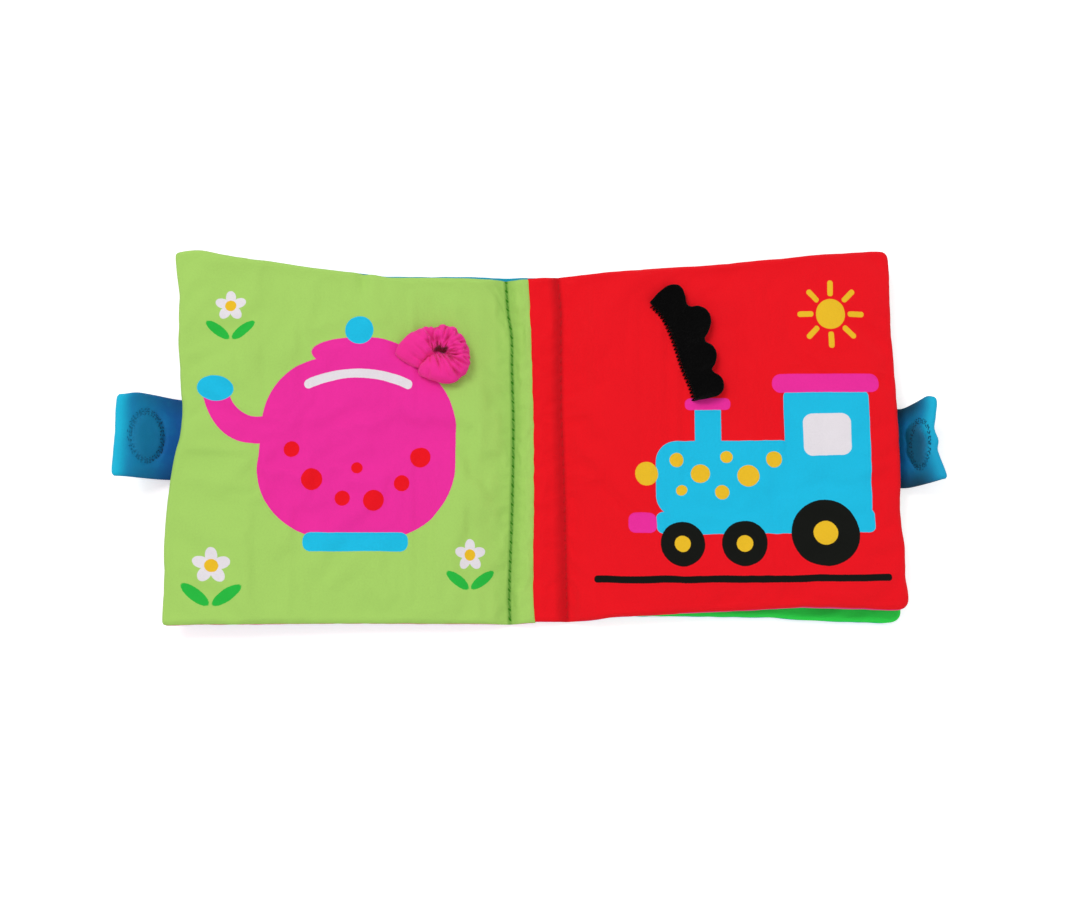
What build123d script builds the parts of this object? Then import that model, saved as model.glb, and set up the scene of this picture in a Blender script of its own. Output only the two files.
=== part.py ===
# Soft cloth book lying open: a padded cover, one padded double page sewn into it along two
# rows of stitching, a closing tab on each cover, a gathered curl and a scalloped felt flap.
# Millimetres. X runs across the spread, Y up the pages, Z up. The origin is the middle of the
# spine's underside. A distance called "out" is measured from a stitch line towards the outer edge.

import os
from math import atan2, cos, degrees, hypot, pi, radians, sin, sqrt

from build123d import *

# Driving sizes
page_height = 150.0      # at the spine
leaf_width = 143.8       # from the stitch line to the outer edge
spine_width = 22.0       # between the two stitch lines, the thickness of the closed book
cloth = 0.4              # one ply of cotton
cover_pad = 4.6          # padded cover, cloth included
page_pad = 5.0           # padded page, cloth included
pinch = 1.2              # cover or page where the stitching pulls it together
fold_gap = 0.25          # from a stitch line to the cloth beside it, on each side
corner_radius = 5.5      # in plan, at the outer corners
middle_seam_x = -1.5     # where the green and the red half of the spine strip meet
cover_inset = 1.5        # the cover's outer edge stands this far inside the page's
page_lift = 4.5          # how far the page's outer edge rises off the cover

outer_facets = 5         # flats round each padded edge, outside the cloth
inner_facets = 3         # and inside it
edge_stations = (0.35, 0.6, 0.8)  # shares of a leaf's width where its outline bends
blunt_edge = 0.05        # least share of the thickness, squared, kept at a leaf's outer edge

oval_sides = 24          # straight lines round an oval field
dot_sides = 12           # and round a dot
corner_steps = 3         # and round the corner of a block
end_steps = 4            # and round the end of a band
band_step = 12.0         # degrees of a band to each straight line

ink = 0.15               # thickness of a printed field
seat = 0.1               # between a sewn-on piece and the cloth under it

tab_width = 34.5
tab_root = 6.0           # length of the tab caught inside the seam
left_tab = {"y": 3.0, "reach": 24.6, "rise": 18.3}   # place up the page, reach in plan, curl up
right_tab = {"y": 1.3, "reach": 17.8, "rise": 17.9}
tab_ply = 0.7
tab_pocket = 0.2         # share of the reach where the two plies come apart round the fastener
tab_stations = (0, 0.15, 0.3, 0.45, 0.6, 0.75, 0.9)  # shares of the reach where the tab bends
fastener_diameter = 18.0
fastener_thickness = 1.0
fastener_clearance = 0.15

curl_height = 8.0
curl_gathers = 20
gather_depth = 0.13      # share of the tube's size taken by each gather
curl_sides = 10

felt_thickness = 2.0
felt_lean = 5.0          # degrees that the free edge stands up

# Profile of both pads beside a stitch line: how far out, and the share of the full puff there
puff_profile = [(0.0, 0.0), (3.0, 0.03), (7.0, 0.48), (14.0, 0.9), (24.0, 1.0)]
# The same across the spine strip, from a stitch line to the middle seam
spine_profile = [(0.0, 0.0), (3.0, 0.03), (6.5, 0.42), (8.5, 0.5), (11.0, 0.4)]
# Share of the page's width, and the share of page_lift reached there
lift_profile = [(0.17, 0.0), (0.35, 0.12), (0.6, 0.5), (0.8, 1.0)]

# Each leaf's edges: share of its width, and how far that edge stands out past page_height / 2
left_page = {
    "side": -1,
    "top": [(0.0, -0.5), (0.35, -0.8), (0.6, 3.4), (0.8, 7.0), (0.93, 11.0), (1.0, 9.6)],
    "bottom": [(0.0, 0.8), (0.5, 1.4), (1.0, 2.6)],
    "lean": -0.8,        # the outer edge's top end stands this far out, its bottom end as far in
}
right_page = {
    "side": 1,
    "top": [(0.0, 1.0), (0.35, 4.3), (0.6, 6.8), (0.8, 8.9), (0.95, 10.3), (1.0, 9.4)],
    "bottom": [(0.0, -0.3), (0.35, -3.0), (0.6, -4.6), (0.8, -4.8), (1.0, -3.4)],
    "lean": -1.8,
}
left_cover = {
    "side": -1,
    "top": [(0.0, 0.8), (0.35, 1.8), (0.6, 5.8), (0.8, 9.4), (1.0, 9.0)],
    "bottom": [(0.0, 0.2), (1.0, 1.2)],
    "lean": -0.6,
}
right_cover = {
    "side": 1,
    "top": [(0.0, 0.0), (0.35, 2.4), (0.8, 6.4), (1.0, 7.0)],
    "bottom": [(0.0, -0.6), (0.35, -2.0), (0.6, -1.4), (0.8, 0.0), (1.0, 0.8)],
    "lean": -1.6,
}

hinge = spine_width / 2
half_height = page_height / 2
sky = half_height        # taller than anything in the book, for cutting tools
wide = 4 * page_height


def along(profile, at):
    """Value of a profile, a list of (place, value), at a place."""
    if at <= profile[0][0]:
        return profile[0][1]
    for (a, low), (b, high) in zip(profile, profile[1:]):
        if at <= b:
            return low + (high - low) * (at - a) / (b - a)
    return profile[-1][1]


def upright_slot(low, high, floor, top, facets):
    """Ring of points round an upright stadium between two plan points, its ends a few flats."""
    low, high = Vector(*low, (floor + top) / 2), Vector(*high, (floor + top) / 2)
    along_edge, half = (high - low).normalized(), (top - floor) / 2
    ring = []
    for end, way in ((high, 1), (low, -1)):
        for number in range(facets + 1):
            turn = pi * number / facets
            inward = along_edge * (way * half * (sin(turn) - 1))
            ring.append(end + inward + Vector(0, 0, -way * half * cos(turn)))
    return ring


def facet(*points):
    return Face(Wire.make_polygon(points, close=True))


def skin_solid(rings):
    """Closed solid of flat facets between neighbouring rings of points."""
    faces = [facet(*rings[0]), facet(*rings[-1])]
    for near, far in zip(rings, rings[1:]):
        for spot in range(len(near)):
            after = (spot + 1) % len(near)
            a, b, c, d = near[spot], near[after], far[after], far[spot]
            if abs((b - a).cross(c - a).dot(d - a)) < 1e-9:
                faces.append(facet(a, b, c, d))
            else:
                faces += [facet(a, b, c), facet(a, c, d)]
    return Solid(Shell(faces))


def prism_xz(points, low=-wide / 2, depth=wide):
    """Solid with an outline in X and Z, run along Y."""
    outline = Polyline(*[(x, low, z) for x, z in points], close=True)
    return extrude(make_face(outline), amount=depth, dir=(0, 1, 0))


def fold_cut(side, inside):
    """Everything on the far side of the 45 degree face beside a stitch line."""
    turn = -side if inside else side
    points = [(-wide, -sky), (fold_gap - sky, -sky), (fold_gap + sky, sky), (-wide, sky)]
    return prism_xz([(side * hinge + turn * out, z) for out, z in points])


# Padded leaves

def table(out):
    return 0.0


def cover_top(out):
    return pinch + (cover_pad - pinch) * along(puff_profile, out)


def page_floor(out):
    return cover_top(out) + page_lift * along(lift_profile, out / leaf_width)


def page_top(out):
    return page_floor(out) + pinch + (page_pad - pinch) * along(puff_profile, out)


def leaf_solid(leaf, width, floor, top, inset):
    """Solid through stadium sections, with its outer edge and corners rounded."""
    facets = inner_facets if inset else outer_facets
    side, end = leaf["side"], width - inset
    bend = min(corner_radius - inset, end / 4)
    round_off = (top(width) - floor(width)) / 2 - inset
    slant_start = edge_stations[-1] * width
    spots = [out for out, _ in puff_profile] + [share * width for share in edge_stations]
    spots += [end - bend, end - 0.55 * bend] + [end - round_off * part for part in (1.0, 0.35, 0.0)]
    rings = []
    for out in spots:
        left_over = end - out
        corner = max(bend - left_over, 0)
        edge = max(round_off - left_over, 0)
        drawn_in = bend - sqrt(bend**2 - corner**2)
        flat = max(1 - (edge / round_off) ** 2, blunt_edge)
        middle = (floor(out) + top(out)) / 2
        half = ((top(out) - floor(out)) / 2 - inset) * sqrt(flat)
        slant = leaf["lean"] * min(max((out - slant_start) / (end - bend - slant_start), 0), 1)
        high_y = half_height + along(leaf["top"], out / width) - inset - drawn_in
        low_y = -half_height - along(leaf["bottom"], out / width) + inset + drawn_in
        low = (side * (hinge + out - slant), low_y)
        high = (side * (hinge + out + slant), high_y)
        rings.append(upright_slot(low, high, middle - half, middle + half, facets))
    return skin_solid(rings)


def above_seam(side, width, floor, top):
    """Everything above the seam, which runs round a leaf at half its thickness."""
    spots = [-hinge / 2] + [out for out, _ in puff_profile]
    spots += [share * width for share in (*edge_stations, 0.95, 1.0, 1.2)]
    line = [(side * (hinge + out), (floor(max(out, 0)) + top(max(out, 0))) / 2) for out in spots]
    return prism_xz(line + [(line[-1][0], sky), (line[0][0], sky)])


def make_leaf(leaf, width, floor, top):
    """Front cloth, back cloth and wadding of one padded leaf, and its full outer form."""
    side = leaf["side"]
    fold = fold_cut(side, inside=False)
    outer = leaf_solid(leaf, width, floor, top, 0) - fold
    wadding = leaf_solid(leaf, width, floor, top, cloth) - fold
    shell = outer - wadding
    upper = above_seam(side, width, floor, top)
    return shell & upper, shell - upper, wadding, outer


def spine_floor_page(across):
    return pinch + (cover_pad - pinch) * along(spine_profile, hinge - abs(across))


def spine_top_page(across):
    puff = (page_pad - pinch) * along(spine_profile, hinge - abs(across))
    return spine_floor_page(across) + pinch + puff


def spine_solid(floor, top, inset):
    """Solid through stadium sections across the spine strip."""
    steps = [hinge - out for out, _ in spine_profile if out < hinge] + [0.0]
    spots = [-step for step in steps] + steps[-2::-1]
    rings = []
    for x in spots:
        low, high = (x, -half_height + inset), (x, half_height - inset)
        rings.append(upright_slot(low, high, floor(x) + inset, top(x) - inset, inner_facets))
    return skin_solid(rings)


def make_spine(floor, top):
    folds = fold_cut(-1, inside=True) + fold_cut(1, inside=True)
    outer = spine_solid(floor, top, 0) - folds
    wadding = spine_solid(floor, top, cloth) - folds
    shell = outer - wadding
    steps = [hinge - out for out, _ in spine_profile if out < hinge] + [0.0]
    spots = [-hinge - 1] + [-step for step in steps] + steps[-2::-1] + [hinge + 1]
    inside = [min(max(x, -hinge), hinge) for x in spots]
    line = [(x, (floor(at) + top(at)) / 2) for x, at in zip(spots, inside)]
    upper = prism_xz(line + [(line[-1][0], sky), (line[0][0], sky)])
    return shell & upper, shell - upper, wadding


def oval_face(half_x, half_y):
    points = []
    for number in range(oval_sides):
        angle = 2 * pi * (number + 0.5) / oval_sides
        points.append((half_x * cos(angle), half_y * sin(angle)))
    return make_face(Polyline(*points, close=True))


# Closing tabs

def tab_line(place, out):
    """Height of the tab's middle: level in the seam, then curling up to its folded end."""
    share = max(out, 0) / place["reach"]
    return cover_pad / 2 + place["rise"] * (1.25 * share**2 - 0.25 * share**4)


def tab_slope(place, out, step=0.1):
    return atan2(tab_line(place, out + step) - tab_line(place, out - step), 2 * step)


def tab_profile(place, side, edge, half, start, end):
    spots = [start] + [place["reach"] * share for share in tab_stations]
    spots = [out for out in spots if start <= out < end] + [end]
    over, under = [], []
    for out in spots:
        slope = tab_slope(place, out)
        x, z = edge + out, tab_line(place, out)
        over.append((side * (x - half * sin(slope)), z + half * cos(slope)))
        under.append((side * (x + half * sin(slope)), z - half * cos(slope)))
    return over + under[::-1]


def make_tab(place, side, width):
    """A tape folded back on itself, with a round fastener sewn in between its two plies."""
    edge, reach = hinge + width, place["reach"]
    low = place["y"] - tab_width / 2
    disc_half = fastener_thickness / 2
    pocket_half = disc_half + fastener_clearance
    tape_half = pocket_half + tab_ply
    pocket_start, pocket_end = tab_pocket * reach, reach - tab_ply

    def layer(half, start, end):
        return prism_xz(tab_profile(place, side, edge, half, start, end), low, tab_width)

    tape = layer(tape_half, -tab_root, reach) - layer(pocket_half, pocket_start, pocket_end)
    middle = (pocket_start + pocket_end) / 2
    radius = fastener_diameter / 2
    round_plan = oval_face(radius * cos(tab_slope(place, middle)), radius)
    round_plan = Pos(side * (edge + middle), place["y"], 0) * round_plan
    disc = layer(disc_half, pocket_start, pocket_end) & extrude(round_plan, sky)
    return tape, disc


# Gathered curl: (polar angle, distance of the tube's middle from the hole, half width, height
# share, direction of the section), from the base sewn into the page round to the flat tip.
# Its hole is given as a distance out from the left stitch line, and a height up the page.
curl_hole = (30.5, 42.4)
curl_path = [
    (202.0, 16.2, 5.9, 0.25, 152.5), (176.0, 11.2, 6.0, 0.8, 164.0), (150.0, 8.6, 5.6, 0.95, 152.0),
    (120.0, 7.2, 4.9, 1.0, 120.0), (90.0, 6.5, 4.4, 1.0, 90.0), (45.0, 7.1, 4.9, 1.0, 45.0),
    (0.0, 7.7, 5.6, 1.0, 0.0), (-45.0, 8.6, 6.4, 1.0, -45.0), (-90.0, 8.7, 6.5, 0.9, -90.0),
    (-118.0, 8.4, 6.2, 0.7, -116.0), (-137.0, 8.4, 5.9, 0.35, -137.0),
]


def make_curl():
    """Tube of cloth gathered round a curl: full and drawn-in sections by turns."""
    start, end = curl_path[0][0], curl_path[-1][0]
    keys = [[(start - row[0], row[i]) for row in curl_path] for i in (1, 2, 3, 4)]
    steps = 2 * curl_gathers
    rings = []
    for step in range(steps + 1):
        turned = (start - end) * step / steps
        far, half, share, facing = (along(key, turned) for key in keys)
        fullness = 1 - gather_depth * (step % 2)
        angle = radians(start - turned)
        rise = curl_height / 2 * share * fullness
        x, y = far * cos(angle) - hinge - curl_hole[0], far * sin(angle) + curl_hole[1]
        face = radians(facing)
        corners = []
        for corner in range(curl_sides):
            turn = 2 * pi * (corner + 0.5) / curl_sides
            sideways = half * fullness * cos(turn)
            spot = Vector(x + sideways * cos(face), y + sideways * sin(face))
            ground = page_top(-spot.X - hinge) + ink + seat
            corners.append(spot + Vector(0, 0, ground + rise * (1 + sin(turn))))
        rings.append(corners)
    return skin_solid(rings)


# Felt flap: points given as the curl's hole is, each scallop an arc through its crown
flap_sewn = [(37.6, 60.7), (49.2, 42.1), (57.1, 19.4)]
flap_scallops = [
    [(57.1, 19.4), (68.8, 26.2), (63.4, 32.5)], [(63.4, 32.5), (66.2, 39.2), (60.8, 45.1)],
    [(60.8, 45.1), (63.6, 53.6), (53.9, 59.7)], [(53.9, 59.7), (48.9, 68.0), (37.6, 60.7)],
]


def make_flap():
    """Scalloped felt, sewn down along its left edge, its free edge standing a little up."""
    (out_high, y_high), _, (out_low, y_low) = flap_sewn
    run_x, run_y = out_high - out_low, y_high - y_low
    lines = ThreePointArc(*flap_sewn) + [ThreePointArc(*row) for row in flap_scallops]
    flat = Pos(-out_low, -y_low, 0) * extrude(make_face(lines), felt_thickness)
    page_slope = atan2(page_top(leaf_width / 2) - page_top(leaf_width / 4), leaf_width / 4)
    sewn_slope = atan2(page_top(out_high) - page_top(out_low), hypot(run_x, run_y))
    sewn, square_to_it = Axis((0, 0, 0), (run_x, run_y, 0)), Axis((0, 0, 0), (-run_y, run_x, 0))
    leant = flat.rotate(sewn, -felt_lean - degrees(page_slope))
    seated = leant.rotate(square_to_it, -degrees(sewn_slope))
    return Pos(hinge + out_low, y_low, page_top(out_low) + ink + seat) * seated


# Printed fields: shapes in plan, placed by their middle. X is measured from the page's stitch
# line. A teapot and blossoms on the left.

def dot(x, y, radius):
    return Pos(x, y) * RegularPolygon(radius, dot_sides)


def oval(x, y, half_x, half_y, turn=0.0):
    return Pos(x, y) * Rot(0, 0, turn) * oval_face(half_x, half_y)


def leaflet(x, y, half_x, half_y, turn):
    """Six-sided petal or leaf."""
    tip, waist = 0.45 * half_x, half_y
    points = [(half_x, 0), (tip, waist), (-tip, waist), (-half_x, 0), (-tip, -waist), (tip, -waist)]
    return Pos(x, y) * Rot(0, 0, turn) * make_face(Polyline(*points, close=True))


def block(x, y, width, height, radius=0.0, turn=0.0):
    """Rectangle, its corners rounded with a few short lines."""
    points = []
    for corner in range(4):
        for step in range(corner_steps + 1 if radius else 1):
            angle = pi / 2 * (corner + step / corner_steps)
            middle_x = (width / 2 - radius) * (1 if corner in (0, 3) else -1)
            middle_y = (height / 2 - radius) * (1 if corner in (0, 1) else -1)
            points.append((middle_x + radius * cos(angle), middle_y + radius * sin(angle)))
    return Pos(x, y) * Rot(0, 0, turn) * make_face(Polyline(*points, close=True))


def band(x, y, radius, start, sweep, width):
    """Part of a ring with round ends, from a start angle through a sweep, in degrees."""
    points = []
    for far, way, end in ((radius + width / 2, 1, start), (radius - width / 2, -1, start + sweep)):
        steps = max(2, round(sweep / band_step))
        for step in range(steps + 1):
            angle = radians(end + way * sweep * step / steps)
            points.append((far * cos(angle), far * sin(angle)))
        cap = radians(end + way * sweep)
        for step in range(1, end_steps):
            lean = cap + pi * step / end_steps + (0 if way > 0 else pi)
            x_end = radius * cos(cap) + width / 2 * cos(lean)
            points.append((x_end, radius * sin(cap) + width / 2 * sin(lean)))
    return Pos(x, y) * make_face(Polyline(*points, close=True))


pot = {
    "x": -66.0, "y": -1.0, "half_x": 42.0, "half_y": 39.0, "corner": 31.0,
    "lid_half_x": 20.0, "lid_half_y": 7.0, "lid_rise": 2.0, "knob": 6.0, "knob_rise": 12.0,
    "foot_width": 44.0, "foot_height": 8.0, "foot_drop": 1.5, "foot_corner": 3.5,
    "spout_radius": 18.0, "spout_width": 12.0, "spout_out": 2.0, "spout_up": 25.0,
    "lip_half_x": 8.0, "lip_half_y": 5.5, "collar_radius": 50.0, "collar_width": 4.0,
    "collar_drop": 18.0,
}
spout_angles, collar_angles = (185.0, 95.0), (65.0, 50.0)  # start and sweep of each band
belly_dots = [
    (-94.0, -2.0, 3.4), (-85.0, -15.0, 4.6), (-72.0, -23.0, 3.2), (-59.0, -24.0, 4.4),
    (-47.0, -17.0, 3.4), (-39.0, -6.0, 4.4), (-66.0, -10.0, 2.4),
]
blossoms = [(-124.0, -52.0, 7.0), (-17.0, -47.0, 6.0), (-121.0, 60.0, 6.0)]
petals = 5


def blossom_petals(x, y, size):
    shapes = []
    for number in range(petals):
        turn = 90 + 360 * number / petals
        angle = radians(turn)
        petal_x, petal_y = x + 0.62 * size * cos(angle), y + 0.62 * size * sin(angle)
        shapes.append(leaflet(petal_x, petal_y, 0.5 * size, 0.36 * size, turn))
    return shapes


def joined(shapes):
    whole = shapes[0]
    for shape in shapes[1:]:
        whole += shape
    return whole


def left_fields():
    """Colour fields of the left page, the upper ones cut out of those below."""
    x, y = pot["x"], pot["y"]
    left, high, low = x - pot["half_x"], y + pot["half_y"], y - pot["half_y"]
    body = block(x, y, 2 * pot["half_x"], 2 * pot["half_y"], pot["corner"])
    lid = oval(x, high + pot["lid_rise"], pot["lid_half_x"], pot["lid_half_y"])
    knob = dot(x, high + pot["knob_rise"], pot["knob"])
    foot = block(x, low - pot["foot_drop"], pot["foot_width"], pot["foot_height"], pot["foot_corner"])
    spout_x, spout_y = left - pot["spout_out"], y + pot["spout_up"]
    spout = band(spout_x, spout_y, pot["spout_radius"], *spout_angles, pot["spout_width"])
    lip = oval(spout_x - pot["spout_radius"], spout_y, pot["lip_half_x"], pot["lip_half_y"])
    collar_y = y - pot["collar_drop"]
    collar = band(x, collar_y, pot["collar_radius"], *collar_angles, pot["collar_width"])
    dots = joined([dot(*row) for row in belly_dots])
    white = joined([collar] + [p for row in blossoms for p in blossom_petals(*row)])
    yellow = joined([dot(bx, by, 0.4 * size) for bx, by, size in blossoms])
    leaves = []
    for bx, by, size in blossoms:
        for way in (-1, 1):
            leaf_x, leaf_y = bx + way * 0.9 * size, by - 1.75 * size
            leaves.append(leaflet(leaf_x, leaf_y, size, 0.4 * size, 38 * way))
    blue = joined([knob, foot, lip])
    pink = joined([body, lid, spout]) - blue - dots - collar
    return {
        "pink": pink, "red": dots, "blue": blue, "white": white - yellow, "yellow": yellow,
        "green": joined(leaves) - white,
    }


# A toy engine on a rail on the right. Its funnel stands under the felt flap, the smoke.
engine = {
    "x": 71.0, "y": -14.0, "length": 62.0, "height": 32.0, "corner": 9.0,
    "cab": (42.0, 10.0, 36.0, 54.0, 3.0), "roof": (42.0, 40.0, 46.0, 8.0, 3.8),
    "window": (42.0, 18.0, 20.0, 18.0, 4.0), "funnel": (-8.5, 22.0, 11.0, 20.0, 1.5),
    "rim": (-8.5, 31.5, 19.0, 5.0, 2.2), "frame": (15.0, -19.0, 92.0, 10.0, 3.0),
    "buffer": (-37.0, -19.0, 12.0, 9.0, 3.0), "rail": (4.0, -43.0, 124.0, 3.0, 1.4),
    "lamp": (-35.0, 2.0, 5.0),
}
wheels = [(51.0, -42.0, 9.5), (77.0, -42.0, 9.5), (111.0, -38.0, 14.0)]
hub_share = 0.36
boiler_dots = [
    (49.0, -6.0, 3.0), (59.0, -12.0, 4.0), (70.0, -5.0, 2.6), (79.0, -13.0, 4.6), (90.0, -6.0, 3.4),
    (51.0, -19.0, 2.4), (68.0, -20.0, 3.0),
]
star = {"x": 117.0, "y": 56.0, "core": 6.5, "ray_far": 11.2, "ray_long": 7.0, "ray_wide": 2.4}
star_rays = 8


def right_fields():
    """Colour fields of the right page, the upper ones cut out of those below."""
    x, y = engine["x"], engine["y"]

    def placed(shape, name):
        across, up, *sizes = engine[name]
        return shape(x + across, y + up, *sizes)

    boiler = block(x, y, engine["length"], engine["height"], engine["corner"])
    window = placed(block, "window")
    hubs = joined([dot(wx, wy, hub_share * size) for wx, wy, size in wheels])
    tyres = joined([dot(*row) for row in wheels])
    spots = joined([dot(*row) for row in boiler_dots])
    rays = []
    for number in range(star_rays):
        turn = 360 * number / star_rays
        ray_x = star["x"] + star["ray_far"] * cos(radians(turn))
        ray_y = star["y"] + star["ray_far"] * sin(radians(turn))
        rays.append(block(ray_x, ray_y, star["ray_long"], star["ray_wide"], turn=turn))
    sun = joined([dot(star["x"], star["y"], star["core"])] + rays)
    black = joined([tyres, placed(block, "rail")]) - hubs
    yellow = joined([hubs, spots, sun, placed(dot, "lamp")])
    pink = joined([placed(block, name) for name in ("roof", "rim", "buffer")]) - black - hubs
    blue = joined([boiler] + [placed(block, name) for name in ("cab", "funnel", "frame")])
    blue = blue - pink - black - yellow - window
    return {"blue": blue, "yellow": yellow, "black": black, "pink": pink, "white": window}


def print_page(fields, side, page_form):
    """Thin fields of ink that follow the top of a page."""
    skin = (Pos(0, 0, ink) * page_form) - page_form
    stitch_line = Pos(side * hinge, 0, 0)
    return {colour: skin & extrude(stitch_line * shape, sky) for colour, shape in fields.items()}


# The whole book
pieces = {}
cover_width = leaf_width - cover_inset
halves = [
    ("left", left_page, left_cover, left_tab, left_fields()),
    ("right", right_page, right_cover, right_tab, right_fields()),
]
for name, page, cover, tab_place, fields in halves:
    lining, cover_cloth, cover_wadding, _ = make_leaf(cover, cover_width, table, cover_top)
    front, back, wadding, page_form = make_leaf(page, leaf_width, page_floor, page_top)
    tab, disc = make_tab(tab_place, cover["side"], cover_width)
    pieces[f"{name}_cover_cloth"] = cover_cloth - tab
    pieces[f"{name}_cover_wadding"] = cover_wadding - tab
    pieces[f"{name}_cover_lining"] = lining - tab
    pieces[f"{name}_page_back_cloth"] = back
    pieces[f"{name}_page_wadding"] = wadding
    pieces[f"{name}_page_front_cloth"] = front
    pieces[f"{name}_tab"] = tab
    pieces[f"{name}_tab_fastener"] = disc
    for colour, solid in print_page(fields, page["side"], page_form).items():
        pieces[f"{name}_print_{colour}"] = solid

lining, cover_cloth, wadding = make_spine(table, spine_floor_page)
pieces["spine_cover_lining"] = lining
pieces["spine_cover_cloth"] = cover_cloth
pieces["spine_cover_wadding"] = wadding
front, back, wadding = make_spine(spine_floor_page, spine_top_page)
middle_seam = prism_xz([(middle_seam_x, -sky), (wide, -sky), (wide, sky), (middle_seam_x, sky)])
pieces["spine_page_back_cloth"] = back
pieces["spine_page_wadding"] = wadding
pieces["spine_green_strip"] = front - middle_seam
pieces["spine_red_strip"] = front & middle_seam

pieces["gathered_curl"] = make_curl()
pieces["felt_flap"] = make_flap()

os.makedirs("parts", exist_ok=True)
for name, piece in pieces.items():
    export_step(piece, f"parts/{name}.step")
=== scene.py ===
# A soft cloth book lying open: padded cover, one padded double page sewn in along two rows of
# running stitch, folded closing tabs, a gathered curl and a scalloped felt flap.
# The sizes below are in millimetres, the scene is in metres. "Out" is the distance from a stitch
# line towards the outer edge, "across" the distance from the middle of the spine.
import math
import random

import bmesh
import bpy
import numpy as np
from mathutils import Matrix, Vector, noise
from mathutils.bvhtree import BVHTree


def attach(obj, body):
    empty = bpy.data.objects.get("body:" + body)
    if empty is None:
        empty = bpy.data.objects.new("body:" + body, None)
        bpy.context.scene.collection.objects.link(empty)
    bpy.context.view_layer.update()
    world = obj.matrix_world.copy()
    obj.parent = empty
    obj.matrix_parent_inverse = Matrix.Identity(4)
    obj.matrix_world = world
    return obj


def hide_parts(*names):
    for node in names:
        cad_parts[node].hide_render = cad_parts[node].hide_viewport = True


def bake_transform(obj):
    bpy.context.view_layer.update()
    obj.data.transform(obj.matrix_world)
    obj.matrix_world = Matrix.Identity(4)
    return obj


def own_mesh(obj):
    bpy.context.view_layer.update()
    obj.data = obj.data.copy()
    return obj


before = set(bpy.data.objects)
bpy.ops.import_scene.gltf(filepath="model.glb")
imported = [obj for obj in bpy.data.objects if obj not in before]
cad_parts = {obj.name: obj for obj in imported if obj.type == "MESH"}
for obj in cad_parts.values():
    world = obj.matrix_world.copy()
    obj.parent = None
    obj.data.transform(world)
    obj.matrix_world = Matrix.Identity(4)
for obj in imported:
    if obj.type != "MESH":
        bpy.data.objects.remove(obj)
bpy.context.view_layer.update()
mm = 0.001


# small helpers

def soft(profile, at, reach=0.0):
    # value of a list of (place, value) at a place, rounded over a reach to each side
    places, values = zip(*profile)
    spots = np.asarray(at, float)
    steps = np.linspace(-reach, reach, 5) if reach else [0.0]
    return sum(np.interp(spots + step, places, values) for step in steps) / len(steps)


def ramp(value, low, high):
    t = np.clip((value - low) / (high - low), 0, 1)
    return t * t * (3 - 2 * t)


def hump(value, middle, reach):
    return np.exp(-((value - middle) / reach) ** 2)


def rounded(inwards, half):
    # half height of a rounded rim, as a share, at a distance in from the edge
    return np.sqrt(np.clip(1 - (1 - np.clip(inwards / half, 0, 1)) ** 2, 0, 1))


def srgb(red, green, blue):
    def linear(part):
        part = part / 255
        return part / 12.92 if part <= 0.04045 else ((part + 0.055) / 1.055) ** 2.4
    return (linear(red), linear(green), linear(blue), 1.0)


def getPoints(mesh):
    points = np.zeros(len(mesh.vertices) * 3)
    mesh.vertices.foreach_get("co", points)
    return points.reshape(-1, 3)


def setPoints(mesh, points):
    mesh.vertices.foreach_set("co", np.asarray(points, float).ravel())
    mesh.update()


def addObject(name, data):
    made = bpy.data.objects.new(name, data)
    bpy.context.scene.collection.objects.link(made)
    return made


def addPiece(name, mesh, *materials):
    mesh.polygons.foreach_set("use_smooth", [True] * len(mesh.polygons))
    for material in materials:
        mesh.materials.append(material)
    return addObject(name, mesh)


def meshFrom(bm, name):
    mesh = bpy.data.meshes.new(name)
    bm.to_mesh(mesh)
    bm.free()
    return mesh


def closeHoles(bm):
    bmesh.ops.holes_fill(bm, edges=[edge for edge in bm.edges if edge.is_boundary], sides=0)
    bmesh.ops.recalc_face_normals(bm, faces=bm.faces[:])


def applyModifiers(piece):
    bpy.context.view_layer.update()
    evaluated = piece.evaluated_get(bpy.context.evaluated_depsgraph_get())
    done = bpy.data.meshes.new_from_object(evaluated)
    piece.modifiers.clear()
    old = piece.data
    piece.data = done
    bpy.data.meshes.remove(old)
    return done


def smoothed(piece):
    rounder = piece.modifiers.new("round", "SUBSURF")
    rounder.levels = rounder.render_levels = 1
    rounder.use_limit_surface = False
    return applyModifiers(piece)


def waves(points, scale, seed):
    # smooth noise at a scale in mm, one value for each point; each seed looks at another part of it
    shift = Vector((seed * 17.3, seed * 5.1, seed * 9.7))
    return np.array([noise.noise(Vector(p) / scale + shift) for p in points])


def surfaceOf(piece):
    mesh = piece.data
    return BVHTree.FromPolygons([v.co for v in mesh.vertices], [tuple(p.vertices) for p in mesh.polygons])


def heightOf(surface, x, y, up=-1):
    # height, in mm, of a surface met by a ray straight down, or straight up, from 200 mm away
    return surface.ray_cast(Vector((x, y, -200 * up)) * mm, Vector((0, 0, up)))[0].z / mm


# camera, at the photograph's angle

viewer = {"elevation": 80.0, "distance": 0.80, "lens": 62.2, "sensor": 36.0, "aim": (1.35, -1.8, 8.0)}
lens = bpy.data.cameras.new("lens")
lens.lens, lens.sensor_width, lens.clip_end = viewer["lens"], viewer["sensor"], 20.0
camera = addObject("camera", lens)
lift = math.radians(viewer["elevation"])
aim = Vector(viewer["aim"]) * mm
camera.location = aim + Vector((0, -math.cos(lift), math.sin(lift))) * viewer["distance"]
camera.rotation_euler = (math.pi / 2 - lift, 0, 0)
bpy.context.scene.camera = camera


# materials

black = (0, 0, 0, 1)


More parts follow.
